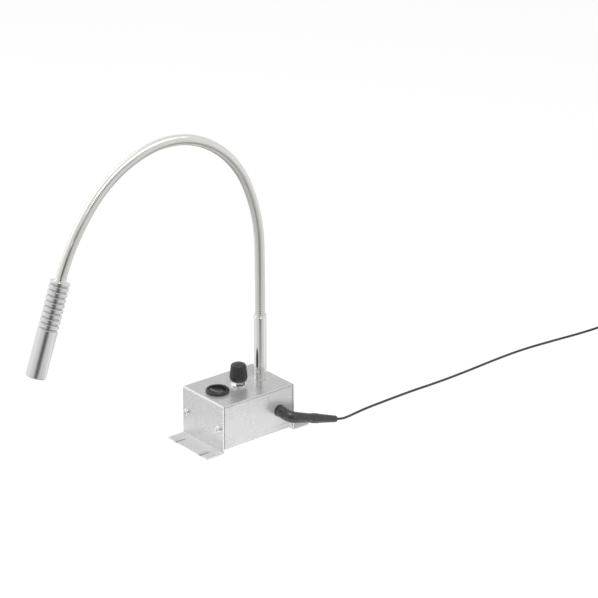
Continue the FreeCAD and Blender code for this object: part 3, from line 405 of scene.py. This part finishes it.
def skin(name, rings, joined=False):
    """A closed mesh over rings of points. A joined one runs back from its last ring to its first."""
    build = bmesh.new()
    rows = [[build.verts.new(p) for p in ring] for ring in rings]
    count = len(rows[0])
    for low, high in zip(rows, rows[1:] + rows[:1] if joined else rows[1:]):
        for i in range(count):
            j = (i + 1) % count
            build.faces.new((low[i], low[j], high[j], high[i]))
    if not joined:
        build.faces.new(rows[0][::-1])
        build.faces.new(rows[-1])
    bmesh.ops.recalc_face_normals(build, faces=build.faces[:])
    mesh = bpy.data.meshes.new(name)
    build.to_mesh(mesh)
    build.free()
    piece = bpy.data.objects.new(name, mesh)
    bpy.context.scene.collection.objects.link(piece)
    return piece


def turned(name, outline, where, joined=False, sides=96, wave=None):
    """A turned piece: its outline goes round the Z axis of where. wave(angle, height) scales the radius."""
    rings = []
    for radius, height in outline:
        ring = []
        for i in range(sides):
            a = 2 * math.pi * i / sides
            r = radius * (wave(a, height) if wave else 1.0)
            ring.append(where @ (Vector((r * math.cos(a), r * math.sin(a), height)) * MM))
        rings.append(ring)
    return skin(name, rings, joined)


def swept(name, path, radius_at, across, sides=48):
    """A round bar along a path of points, whose radius is radius_at(share of the path, angle)."""
    run = [0.0]
    for a, b in zip(path, path[1:]):
        run.append(run[-1] + (b - a).length)
    rings = []
    for i, point in enumerate(path):
        forward = (path[min(i + 1, len(path) - 1)] - path[max(i - 1, 0)]).normalized()
        side = (across - forward * across.dot(forward)).normalized()
        other = forward.cross(side)
        ring = []
        for k in range(sides):
            a = 2 * math.pi * k / sides
            out = side * math.cos(a) + other * math.sin(a)
            ring.append((point + out * radius_at(run[i] / run[-1], a)) * MM)
        rings.append(ring)
    return skin(name, rings)


def upright(x, y, z=0.0):
    return Matrix.Translation(Vector((x, y, z)) * MM)


def aimed(start, direction):
    return Matrix.Translation(start) @ direction.to_track_quat("Z", "Y").to_matrix().to_4x4()


def dress(piece, finish, sharp=32.0):
    piece.data.materials.append(finish.material)
    for polygon in piece.data.polygons:
        polygon.use_smooth = True
    piece.data.set_sharp_from_angle(angle=math.radians(sharp))
    return piece


def settle(piece, body, finish, *stands_for, sharp=32.0):
    """Finishes a piece, lets it ride on its body and stand for its nodes."""
    dress(piece, finish, sharp)
    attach(piece, body)
    if stands_for:
        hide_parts(*stands_for)
    return piece


def middle(node):
    low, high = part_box(node)
    return (low + high) / 2 / MM


def spread(node):
    """The node's lowest and highest corners, in millimetres."""
    low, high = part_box(node)
    return low / MM, high / MM


def smooth(value, low, high):
    t = max(0.0, min(1.0, (value - low) / (high - low)))
    return t * t * (3 - 2 * t)


def view_axes():
    """The camera's right, up and back, before it rolls."""
    a, e = math.radians(VIEW_AZIMUTH), math.radians(VIEW_ELEVATION)
    back = Vector((math.sin(a) * math.cos(e), -math.cos(a) * math.cos(e), math.sin(e)))
    right = Vector((math.cos(a), math.sin(a), 0.0))
    return right, back.cross(right), back


def make_camera():
    right, up, back = view_axes()
    r = math.radians(VIEW_ROLL)
    across = right * math.cos(r) + up * math.sin(r)
    above = up * math.cos(r) - right * math.sin(r)
    data = bpy.data.cameras.new("camera")
    data.sensor_width = SENSOR
    data.lens = FOCUS_PX * SENSOR / PHOTO
    data.clip_end = 20.0
    camera = bpy.data.objects.new("camera", data)
    turn = Matrix((across, above, back)).transposed().to_4x4()
    camera.matrix_world = Matrix.Translation(VIEW_TARGET + back * VIEW_DISTANCE) @ turn
    bpy.context.scene.collection.objects.link(camera)
    bpy.context.scene.camera = camera


def coil_points():
    """The coil's turns: in and out again in four layers, clockwise from above, then out to the adaptor."""
    span = COIL_TURN_OUT - COIL_TURN_IN
    layer_steps = int(round(span / COIL_PITCH * 4)) * COIL_STEPS // 4
    centre_y = CORD_ROUTE[-1][1] - COIL_TURN_OUT
    radius, height, step, points = COIL_TURN_OUT, COIL_LOW, 0, []

    def add():
        a = math.radians(90.0 - 360.0 * step / COIL_STEPS)
        points.append((COIL_X + radius * math.cos(a), centre_y + radius * math.sin(a), height))

    add()
    for layer, way in enumerate((-1, 1, -1, 1)):
        steps = layer_steps if layer < 3 else COIL_LAST_TURNS * COIL_STEPS
        for _ in range(steps):
            step += 1
            radius += way * span / layer_steps
            add()
        if layer < 3:
            climb = COIL_STEPS // 2
            for _ in range(climb):
                step += 1
                height += COIL_LAYER / climb
                add()
    x, y, z = points[-1]
    return points + [(x + 8.0, y, z), (INLET_X - 6.0, y, z), (INLET_X, y, z)]


def make_cord(finish):
    """The whole supply cord, as one smooth curve that runs from the plug to the adaptor."""
    points = CORD_ROUTE + coil_points()
    curve = bpy.data.curves.new("supply_cord", "CURVE")
    curve.dimensions = "3D"
    curve.bevel_depth = CORD_D / 2 * MM
    curve.bevel_resolution = 3
    curve.resolution_u = 5
    curve.use_fill_caps = True
    spline = curve.splines.new("NURBS")
    spline.points.add(len(points) - 1)
    for point, place in zip(spline.points, points):
        point.co = (place[0] * MM, place[1] * MM, place[2] * MM, 1.0)
    spline.order_u = 3
    spline.use_endpoint_u = True
    cord = bpy.data.objects.new("supply_cord", curve)
    bpy.context.scene.collection.objects.link(cord)
    curve.materials.append(finish.material)
    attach(cord, "base")
    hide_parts("cord", "cord_coil")
    return cord


def make_plug(rubber):
    """The moulded right-angle plug, and the boot that its cord leaves by."""
    socket = middle("plug_sleeve")
    face = Vector((socket.x, spread("plug_sleeve")[0].y, socket.z))
    knee, tip = face - Vector((0, PLUG_FLAT, 0)), Vector(CORD_ROUTE[0])
    nose, run = (PLUG_ELBOW - knee).normalized(), tip - PLUG_ELBOW
    whole, along = run.length, run.normalized()
    into, out = PLUG_ELBOW - nose * ELBOW_ROUND, PLUG_ELBOW + along * ELBOW_ROUND
    bend = [into.lerp(PLUG_ELBOW, t / 12).lerp(PLUG_ELBOW.lerp(out, t / 12), t / 12) for t in range(13)]
    ring_at, ring_end = whole * PLUG_WAIST_AT, whole * PLUG_RING_AT
    ring_long = ring_end - ring_at
    straight = [PLUG_ELBOW + along * s for s in steps_between(ELBOW_ROUND, ring_at - 0.3, 1.5)[1:]]
    band = [PLUG_ELBOW + along * (ring_at + s) for s in (0.0, 0.3, 0.6, 1.2)]
    band += [PLUG_ELBOW + along * (ring_end - s) for s in (1.2, 0.4, 0.12, 0.0)]
    path = [face, face.lerp(knee, 0.5), knee] + bend + straight + band
    total = sum((b - a).length for a, b in zip(path, path[1:]))

    def parting(angle):
        return PARTING * max(0.0, abs(math.sin(angle)) - PARTING_FROM) / (1 - PARTING_FROM)

    def body_radius(share, angle):
        left = (1 - share) * total
        if left < 0.05:
            return PLUG_RING_R - 0.35
        if left < ring_long + 0.15:
            return PLUG_RING_R - 0.12 * smooth(left, ring_long - 0.5, ring_long) + parting(angle)
        swell = PLUG_NOSE_R + (PLUG_ELBOW_R - PLUG_NOSE_R) * smooth(share * total, 3.0, 10.0)
        taper = smooth(left, ring_long, total - 12.0)
        return PLUG_WAIST_R + (swell - PLUG_WAIST_R) * taper + parting(angle)

    def boot_radius(share, angle):
        rounding = 0.5 * (1 - math.sqrt(max(0.0, 1 - smooth(share, 0.96, 1.0) ** 2)))
        return BOOT_R + (BOOT_TIP_R - BOOT_R) * share - rounding + parting(angle)

    across = nose.cross(along)
    body = settle(swept("plug_moulding", path, body_radius, across), "base", rubber, "plug_body", sharp=45.0)
    lengths = steps_between(ring_end, whole - 0.8, 1.6) + [whole - 0.5, whole - 0.25, whole - 0.08, whole]
    path = [PLUG_ELBOW + along * s for s in lengths]
    boot = settle(swept("plug_relief", path, boot_radius, across), "base", rubber, "plug_boot", sharp=45.0)
    return [body, boot, "plug_sleeve", "plug_insulator"]


def make_tie(rubber):
    """The tie round the coil: a rounded oblong loop of flat strap."""
    low, high = spread("cord_tie")
    centre, half_x = (low + high) / 2, (high.x - low.x) / 2
    half_y, half_z = (high.y - low.y) / 2, (high.z - low.z) / 2
    strap = [(-half_x, 0.15), (-half_x + 0.3, 0.0), (half_x - 0.3, 0.0), (half_x, 0.15),
             (half_x, TIE_THICK - 0.1), (-half_x, TIE_THICK - 0.1)]
    rings = []
    for k in range(TIE_SIDES):
        a = 2 * math.pi * (k + 0.5) / TIE_SIDES
        c, s = math.cos(a), math.sin(a)
        y = math.copysign(half_y - TIE_CORNER, c) + TIE_CORNER * c
        z = math.copysign(half_z - TIE_CORNER, s) + TIE_CORNER * s
        rings.append([(centre + Vector((x, y - c * depth, z - s * depth))) * MM for x, depth in strap])
    return settle(skin("coil_tie", rings, True), "base", rubber, "cord_tie", sharp=50.0)


def make_switch(plastic, sheen_painted_black):
    """The round housing with its rolled rim, and the dished rocker in it."""
    at = middle("switch_housing")
    low, high = spread("switch_housing")
    seat, rim, outer = spread("cover")[1].z, high.z, (high.x - low.x) / 2
    floor = seat - WELL_DEEP
    outline = [(0.2, floor, 0), (WELL_R, floor, 0.3), (WELL_R, rim, 0.35), (WELL_R + 0.9, rim, 0.3),
               (outer, rim, 1.3), (outer, seat, 0.25), (BODY_R, seat, 0), (BODY_R, seat - BODY_DEEP, 0.4),
               (0.2, seat - BODY_DEEP, 0)]
    housing = turned("switch_bezel", eased(outline, steps=6), upright(at.x, at.y), sides=128)
    settle(housing, "base", plastic, "switch_housing", sharp=50.0)

    rise = math.tan(math.radians(ROCKER_DISH))

    def face(x):
        """The dished face's height, which has a small round in its crease."""
        return CREASE_UP + rise * (math.sqrt(x * x + 0.16) - 0.2)

    rim_r = math.sqrt(ROCKER_R ** 2 - face(ROCKER_R) ** 2)
    flat_r = rim_r - ROCKER_EDGE

    # Each ring of the rocker gives a point for the cosine and sine of an angle
    def on_face(radius, drop):
        return lambda c, s: (radius * c, radius * s, face(radius * c) - drop)

    def on_wall(share):
        def point(c, s):
            top = face(rim_r * c) - ROCKER_EDGE
            z = top + (-ROCKER_DOWN - top) * share
            wall = min(rim_r, math.sqrt(ROCKER_R ** 2 - z * z))
            return wall * c, wall * s, z
        return point

    rings = [on_face(flat_r * share, 0.0) for share in (0.03, 0.25, 0.5, 0.75, 1.0)]
    for bend in (math.radians(90 * step / 5) for step in range(1, 6)):
        rings.append(on_face(flat_r + ROCKER_EDGE * math.sin(bend), ROCKER_EDGE * (1 - math.cos(bend))))
    rings += [on_wall(share) for share in (0.3, 0.65, 1.0)]
    rings.append(lambda c, s: (ROCKER_R * 0.5 * c, ROCKER_R * 0.5 * s, -ROCKER_DOWN))

    pivot = Vector((at.x, at.y, seat + PIVOT_UP))
    tilt = Matrix.Rotation(math.radians(ROCKER_TILT), 4, "Y")
    angles = [2 * math.pi * k / ROCKER_SIDES for k in range(ROCKER_SIDES)]
    built = [[(pivot + tilt @ Vector(point(math.cos(a), math.sin(a)))) * MM for a in angles]
             for point in rings]
    settle(skin("rocker_cap", built), "rocker_body", sheen_painted_black, "rocker", sharp=40.0)
    for side in (-1, 1):
        start = pivot + Vector((0, side * (ROCKER_R - 0.6), 0))
        outline = [(0.2, 0, 0), (PIVOT_R, 0, 0), (PIVOT_R, 0.85, 0.1), (0.2, 0.85, 0)]
        pin = turned("rocker_pin_%s" % ("front" if side < 0 else "back"), eased(outline),
                     aimed(start * MM, Vector((0, side, 0))), sides=32)
        settle(pin, "rocker_body", sheen_painted_black, "rocker")


def make_knob(plastic, nickel):
    """The ribbed knob with its flared foot and low dome, and the washer under it."""
    low, high = spread("knob")
    wide_r, foot, top = (high.x - low.x) / 2, low.z, high.z
    at = middle("pot_shaft")
    shaft_top, bush_top = spread("pot_shaft")[1].z, spread("pot_body")[1].z + 0.3
    wide, shoulder = foot + KNOB_FLARE_H, top - KNOB_DOME_H
    dome_r = (KNOB_TOP_R ** 2 + KNOB_DOME_H ** 2) / (2 * KNOB_DOME_H)
    outline = [(0.2, shaft_top, 0), (SHAFT_R + 0.02, shaft_top, 0), (SHAFT_R + 0.02, bush_top, 0),
               (BUSH_R + 0.3, bush_top, 0), (BUSH_R + 0.3, foot, 0.1), (KNOB_FOOT_R, foot, 0.3),
               (wide_r, wide, 0.7)]
    slope = (KNOB_TOP_R - wide_r) / (shoulder - wide)
    for z in steps_between(wide + 0.9, shoulder - 1.0, 1.0):
        outline.append((wide_r + slope * (z - wide), z, 0))
    outline.append((KNOB_TOP_R, shoulder, 0.8))
    for share in (0.8, 0.6, 0.4, 0.2, 0.03):
        r = KNOB_TOP_R * share
        outline.append((r, top - dome_r + math.sqrt(dome_r ** 2 - r * r), 0))

    def ribs(angle, height):
        depth = smooth(height, wide - 0.3, wide + 1.2) * (1 - smooth(height, shoulder - 0.2, shoulder + 0.5))
        groove = max(0.0, math.cos(KNOB_RIBS * angle)) ** 2
        return 1.0 - depth * groove * KNOB_RIB_DEEP / wide_r

    knob = turned("dimmer_knob", eased(outline), upright(at.x, at.y), sides=KNOB_RIBS * 10, wave=ribs)
    settle(knob, "knob_body", plastic, "knob", sharp=50.0)
    low, high = spread("pot_washer")
    bore, outer = BUSH_R + 0.06, (high.x - low.x) / 2
    outline = [(bore, low.z, 0), (outer, low.z, 0.1), (outer, high.z, 0.35), (bore, high.z, 0.1)]
    washer = turned("knob_washer", eased(outline, True), upright(at.x, at.y), True)
    settle(washer, "base", nickel, "pot_washer", sharp=50.0)


def arm_point(run):
    """The point and heading at a length along the arm's centre line from the top of the ferrule."""
    at = Vector((middle("arm_ferrule").x, 0.0, spread("arm_ferrule")[1].z))
    heading = math.pi / 2
    if run < 0:
        return at + Vector((0, 0, run)), heading
    left = run
    for turn in HOSE_TURNS:
        radius = HOSE_SECTION / math.radians(turn)
        part = min(left, HOSE_SECTION)
        ahead = heading + part / radius
        step = Vector((math.sin(ahead) - math.sin(heading), 0, math.cos(heading) - math.cos(ahead)))
        at = at + step * radius
        heading, left = ahead, left - part
        if left <= 0:
            break
    return at + Vector((math.cos(heading), 0, math.sin(heading))) * left, heading


def arm_end():
    """The end of the hose, and the way that the lamp head points."""
    at, heading = arm_point(HOSE_SECTION * len(HOSE_TURNS))
    return at, Vector((math.cos(heading), 0, math.sin(heading)))


def head_line():
    """The top of the lamp head, in metres, and the way that it points."""
    end, forward = arm_end()
    return (end + forward * NECK_H) * MM, forward


def arm_ring(run, radius_at, sides):
    """A ring square to the arm. radius_at takes the angle round it."""
    at, heading = arm_point(run)
    out = Vector((-math.sin(heading), 0, math.cos(heading)))
    side = Vector((0, 1, 0))
    ring = []
    for i in range(sides):
        a = 2 * math.pi * i / sides
        ring.append((at + (out * math.cos(a) + side * math.sin(a)) * radius_at(a)) * MM)
    return ring


def wound_radius(run):
    """The winding's radius at an angle: round turns with a sharp valley between them."""
    def radius(a):
        across = (run / HOSE_WIRE - a / (2 * math.pi)) % 1.0
        return HOSE_R - HOSE_GROOVE * (1 - math.sqrt(1 - (2 * across - 1) ** 2))
    return radius


def steps_between(start, end, step):
    count = max(1, int(math.ceil((end - start) / step - 1e-6)))
    return [start + (end - start) * i / count for i in range(count + 1)]


def make_hose(hose_metal, lead_grey):
    """The gooseneck, as one stretch from the middle of each section to the middle of the next."""
    total = HOSE_SECTION * len(HOSE_TURNS)
    half = HOSE_SECTION / 2
    cuts = [-HOSE_SEAT] + [half + HOSE_SECTION * i for i in range(len(HOSE_TURNS))] + [total]
    for i, (start, end) in enumerate(zip(cuts, cuts[1:])):
        outer = [arm_ring(s, wound_radius(s) if s >= 0 else lambda a: HOSE_R - HOSE_GROOVE, HOSE_SIDES)
                 for s in steps_between(start, end, HOSE_WIRE / HOSE_STEPS)]
        inner = [arm_ring(s, lambda a: HOSE_BORE_R, HOSE_SIDES) for s in steps_between(start, end, 3.0)]
        lead = [arm_ring(s, lambda a: LEAD_R, 16) for s in steps_between(start, end, 3.0)]
        hose = dress(skin("hose_stretch_%d" % (i + 1), outer + inner[::-1], True), hose_metal, 60.0)
        wire = dress(skin("lead_stretch_%d" % (i + 1), lead), lead_grey)
        for piece, kind in ((hose, "hose"), (wire, "lamp_lead")):
            if i == 0 or i == len(cuts) - 2:
                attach(piece, ARM_BODIES[0 if i == 0 else -1])
            else:
                hinge = HOSE_SECTION * i
                ends = [arm_point(hinge + way * HOSE_REACH)[0] * MM for way in (-1, 1)]
                ARM_BODIES[i - 1]
                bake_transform(piece)
            if i < len(HOSE_TURNS):
                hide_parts("%s_%d" % (kind, i + 1))


def make_ferrule(nickel):
    """The straight tube that carries the hose, and the collar round its top."""
    low, high = spread("arm_ferrule")
    top, seat, radius = high.z, spread("cover")[1].z, (high.x - low.x) / 2
    where = upright(middle("arm_ferrule").x, 0)
    outline = [(STEM_BORE_R, low.z, 0), (STEM_R, low.z, 0), (STEM_R, seat, 0), (radius, seat, 0.25),
               (radius, top, 0.9), (SEAT_R, top, 0), (SEAT_R, top - HOSE_SEAT, 0),
               (STEM_BORE_R, top - HOSE_SEAT, 0)]
    settle(turned("ferrule", eased(outline, True, 6), where, True, 128), "base", nickel, "arm_ferrule")
    low, high = spread("arm_collar")
    foot, head, radius = low.z, high.z, (high.x - low.x) / 2
    outline = [(COLLAR_BORE_R, foot, 0), (radius - 0.35, foot, 0), (radius - 0.35, foot + 0.4, 0),
               (radius, foot + 0.6, 0.15), (radius, head, 0.5), (COLLAR_BORE_R, head, 0.1)]
    settle(turned("collar", eased(outline, True), where, True, 128), "base", nickel, "arm_collar")


def make_head(aluminium):
    """The finned barrel and the neck that it hangs from."""
    where = aimed(*head_line())
    outline = [(NECK_STEM_R + 0.02, 0.0, 0.1), (HEAD_R, 0.0, 0.4)]
    for i in range(GROOVES):
        low = GROOVE_START + i * GROOVE_PITCH
        root = HEAD_R - GROOVE_DEEP
        outline += [(HEAD_R, low, 0.22), (root, low, 0.15), (root, low + GROOVE_W, 0.15),
                    (HEAD_R, low + GROOVE_W, 0.22)]
    outline += [(HEAD_R, HEAD_L, 0.8), (LENS_SEAT_R, HEAD_L, 0.2), (LENS_SEAT_R, LENS_AT, 0),
                (LAMP_CAVITY_R, LENS_AT, 0), (LAMP_CAVITY_R, LED_AT, 0), (LEAD_WAY_R, LED_AT, 0),
                (LEAD_WAY_R, NECK_STEM_L, 0), (NECK_STEM_R + 0.02, NECK_STEM_L, 0)]
    barrel = turned("lamp_barrel", eased(outline, True), where, True, 128)
    settle(barrel, "lamp", aluminium, "head_barrel", sharp=40.0)
    outline = [(LEAD_WAY_R, -NECK_H, 0), (NECK_R, -NECK_H, 0.25), (NECK_R, 0.0, 0.1), (NECK_STEM_R, 0.0, 0),
               (NECK_STEM_R, NECK_STEM_L, 0), (LEAD_WAY_R, NECK_STEM_L, 0)]
    settle(turned("lamp_neck", eased(outline, True), where, True), "lamp", aluminium, "head_neck", sharp=40.0)


def make_floor():
    """A white floor that keeps a faint shadow, with a painted shadow in the feet's slots. Metal sees it only
    near the object.
    """
    mesh = bpy.data.meshes.new("floor")
    corners = [(x * FLOOR_REACH, y * FLOOR_REACH, 0) for x, y in ((-1, -1), (1, -1), (1, 1), (-1, 1))]
    mesh.from_pydata(corners, [], [(0, 1, 2, 3)])
    floor = bpy.data.objects.new("floor", mesh)
    bpy.context.scene.collection.objects.link(floor)
    floor.location.z = -FLOOR_DROP
    material = bpy.data.materials.new("white_floor")
    material.use_nodes = True
    sheet = Layout(material.node_tree)
    sheet.tree.nodes.clear()
    glossy = sheet.seen("Glossy")
    mirrored = glossy.math("MAXIMUM", glossy, sheet.seen("Transmission"))
    direct = glossy.math("MAXIMUM", sheet.seen("Camera"), mirrored)
    colour = sheet.blend(direct, grey(0.92), grey(FLOOR_SHADE))
    matte = sheet.node("ShaderNodeBsdfDiffuse", {}, {"Color": colour})
    x, y = (abs(sheet.along(sheet.place(), axis)) * (1 / MM) for axis in (RIGHT, FRONT))
    # Painted shadow: the floor's own white is cut down under the feet, where it shows through their slots.
    feet = sheet.ease(x, CUT_X + 1.2, CUT_X + 1.8) * (1.0 - sheet.ease(x, FOOT_END - 0.6, FOOT_END))
    shade = SLOT_SHADE * feet * (1.0 - sheet.ease(y, PANEL_Y - 0.6, PANEL_Y))
    white = sheet.node("ShaderNodeEmission", {}, {"Strength": direct * FLOOR_WHITE * (1.0 - shade)})
    near = sheet.node("ShaderNodeAddShader", {}, {0: matte, 1: white})
    from_object = sheet.node("ShaderNodeVectorMath", {"operation": "DISTANCE"},
                             {0: sheet.place(), 1: NEAR_MIDDLE}, "Value")
    gone = glossy * sheet.ease(from_object, NEAR_FLOOR, FAR_FLOOR)
    clear = sheet.node("ShaderNodeBsdfTransparent", {}, {})
    look = sheet.node("ShaderNodeMixShader", {}, {0: gone, 1: near, 2: clear})
    sheet.tree.links.new(look.socket, sheet.tree.nodes.new("ShaderNodeOutputMaterial").inputs["Surface"])
    mesh.materials.append(material)


def make_surround():
    """White to the eye. Metal sees a dark gap behind the camera, and dimmer sides, ground and back."""
    world = bpy.data.worlds.new("surround")
    bpy.context.scene.world = world
    world.use_nodes = True
    sky = Layout(world.node_tree)
    sky.tree.nodes.clear()
    right, _, back = view_axes()
    towards = Vector((back.x, back.y, 0)).normalized()
    ray = sky.node("ShaderNodeTexCoord", {}, {}, "Generated")
    side, ahead, height = (sky.along(ray, axis) for axis in (right, towards, UP))
    round_it = side.math("ARCTAN2", side, ahead) * math.degrees(1.0)
    gap = 1.0 - sky.ease(abs(round_it - GAP_MIDDLE), *GAP_EDGE)
    sides = sky.ease(abs(round_it), *GAP_EDGE) * (1.0 - sky.ease(abs(round_it), *SIDES_EDGE))
    low = 1.0 - sky.ease(height, *HIGH_EDGE)
    level = sky.ease(height, *LEVEL_EDGE)
    steep = 1.0 - sky.ease(height, *STEEP_EDGE)
    behind = sky.ease(abs(round_it), *BEHIND_EDGE)
    band = sky.ease(height, *BAND_FOOT) * (1.0 - sky.ease(height, *BAND_HEAD)) * behind
    round_dark = (gap * (GAP_DARK + level * GAP_LEVEL_DARK) + sides * SIDES_DARK) * low * (1.0 - steep)
    shown = 1.0 - round_dark - steep * STEEP_DARK - band * BAND_DARK
    glossy = sky.seen("Glossy")
    plain = glossy.math("MAXIMUM", sky.seen("Camera"), sky.seen("Transmission"))
    strength = plain + glossy * shown + (1.0 - plain.math("MAXIMUM", plain, glossy)) * SURROUND
    light = sky.node("ShaderNodeBackground", {}, {"Strength": strength})
    sky.tree.links.new(light.socket, sky.tree.nodes.new("ShaderNodeOutputWorld").inputs["Surface"])


def make_lamps():
    for name, azimuth, elevation, distance, size, power, seen_in_metal in LAMPS:
        a, e = math.radians(azimuth), math.radians(elevation)
        way = Vector((math.sin(a) * math.cos(e), -math.cos(a) * math.cos(e), math.sin(e)))
        data = bpy.data.lights.new(name, "AREA")
        data.shape, data.size, data.energy = "DISK", size, power
        lamp = bpy.data.objects.new(name, data)
        lamp.matrix_world = aimed(VIEW_TARGET + way * distance, way)
        lamp.visible_glossy = seen_in_metal
        bpy.context.scene.collection.objects.link(lamp)


def dress_nodes(finishes):
    """Each CAD node takes its slot's finish."""
    for part in frame["record"]["subparts"]:
        piece = frame["nodes"][part["node"]]
        piece.data.materials.clear()
        piece.data.materials.append(finishes[part["material_slot"]].material)


def main():
    make_camera()
    low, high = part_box("front_label")
    plate = [((high[i] - low[i]) / 2, (high[i] + low[i]) / 2) for i in (0, 2)]
    black = plastic_finish("moulded_black", "black_plastic", 0.018, 0.034, 0.30, 2600.0, 0.000002, 0.7)
    rubber = plastic_finish("soft_black", "cord_black", 0.024, 0.060, 0.24, 1900.0, 0.0000015, 0.75)
    brass = plain_metal_finish("brass", "contact_brass", (0.78, 0.62, 0.32, 1), (0.86, 0.72, 0.42, 1), 0.2)
    finishes = {
        "panel": panel_finish(), "bright_metal": nickel_finish(), "hose_metal": hose_finish(),
        "lamp_aluminium": aluminium_finish(*head_line()), "black_plastic": black, "cord_black": rubber,
        "contact_brass": brass, "circuit_board": board_finish(), "lens_clear": lens_finish(),
        "led_yellow": glow_finish(), "label_white": plate_finish(*zip(*plate)),
        "wire_grey": plastic_finish("wire_jacket", "wire_grey", 0.10, 0.16, 0.5, 1500.0, 0.000003),
    }
    dress_nodes(finishes)
    cord = make_cord(rubber)
    on_cord = make_plug(rubber) + [make_tie(rubber), "adaptor_case", "adaptor_prongs"]
    # The rocker's black plastic is lighter than the housing's: a painted sheen on its face.
    sheen_painted_black = plastic_finish("glossy_black_painted_sheen", "black_plastic", 0.055, 0.085, 0.18, 2600.0, 0.000001)
    make_switch(black, sheen_painted_black)
    make_knob(black, finishes["bright_metal"])
    make_hose(finishes["hose_metal"], finishes["wire_grey"])
    make_ferrule(finishes["bright_metal"])
    make_head(finishes["lamp_aluminium"])
    make_floor()
    make_surround()
    make_lamps()


main()
bpy.context.scene.view_settings.view_transform = "Standard"
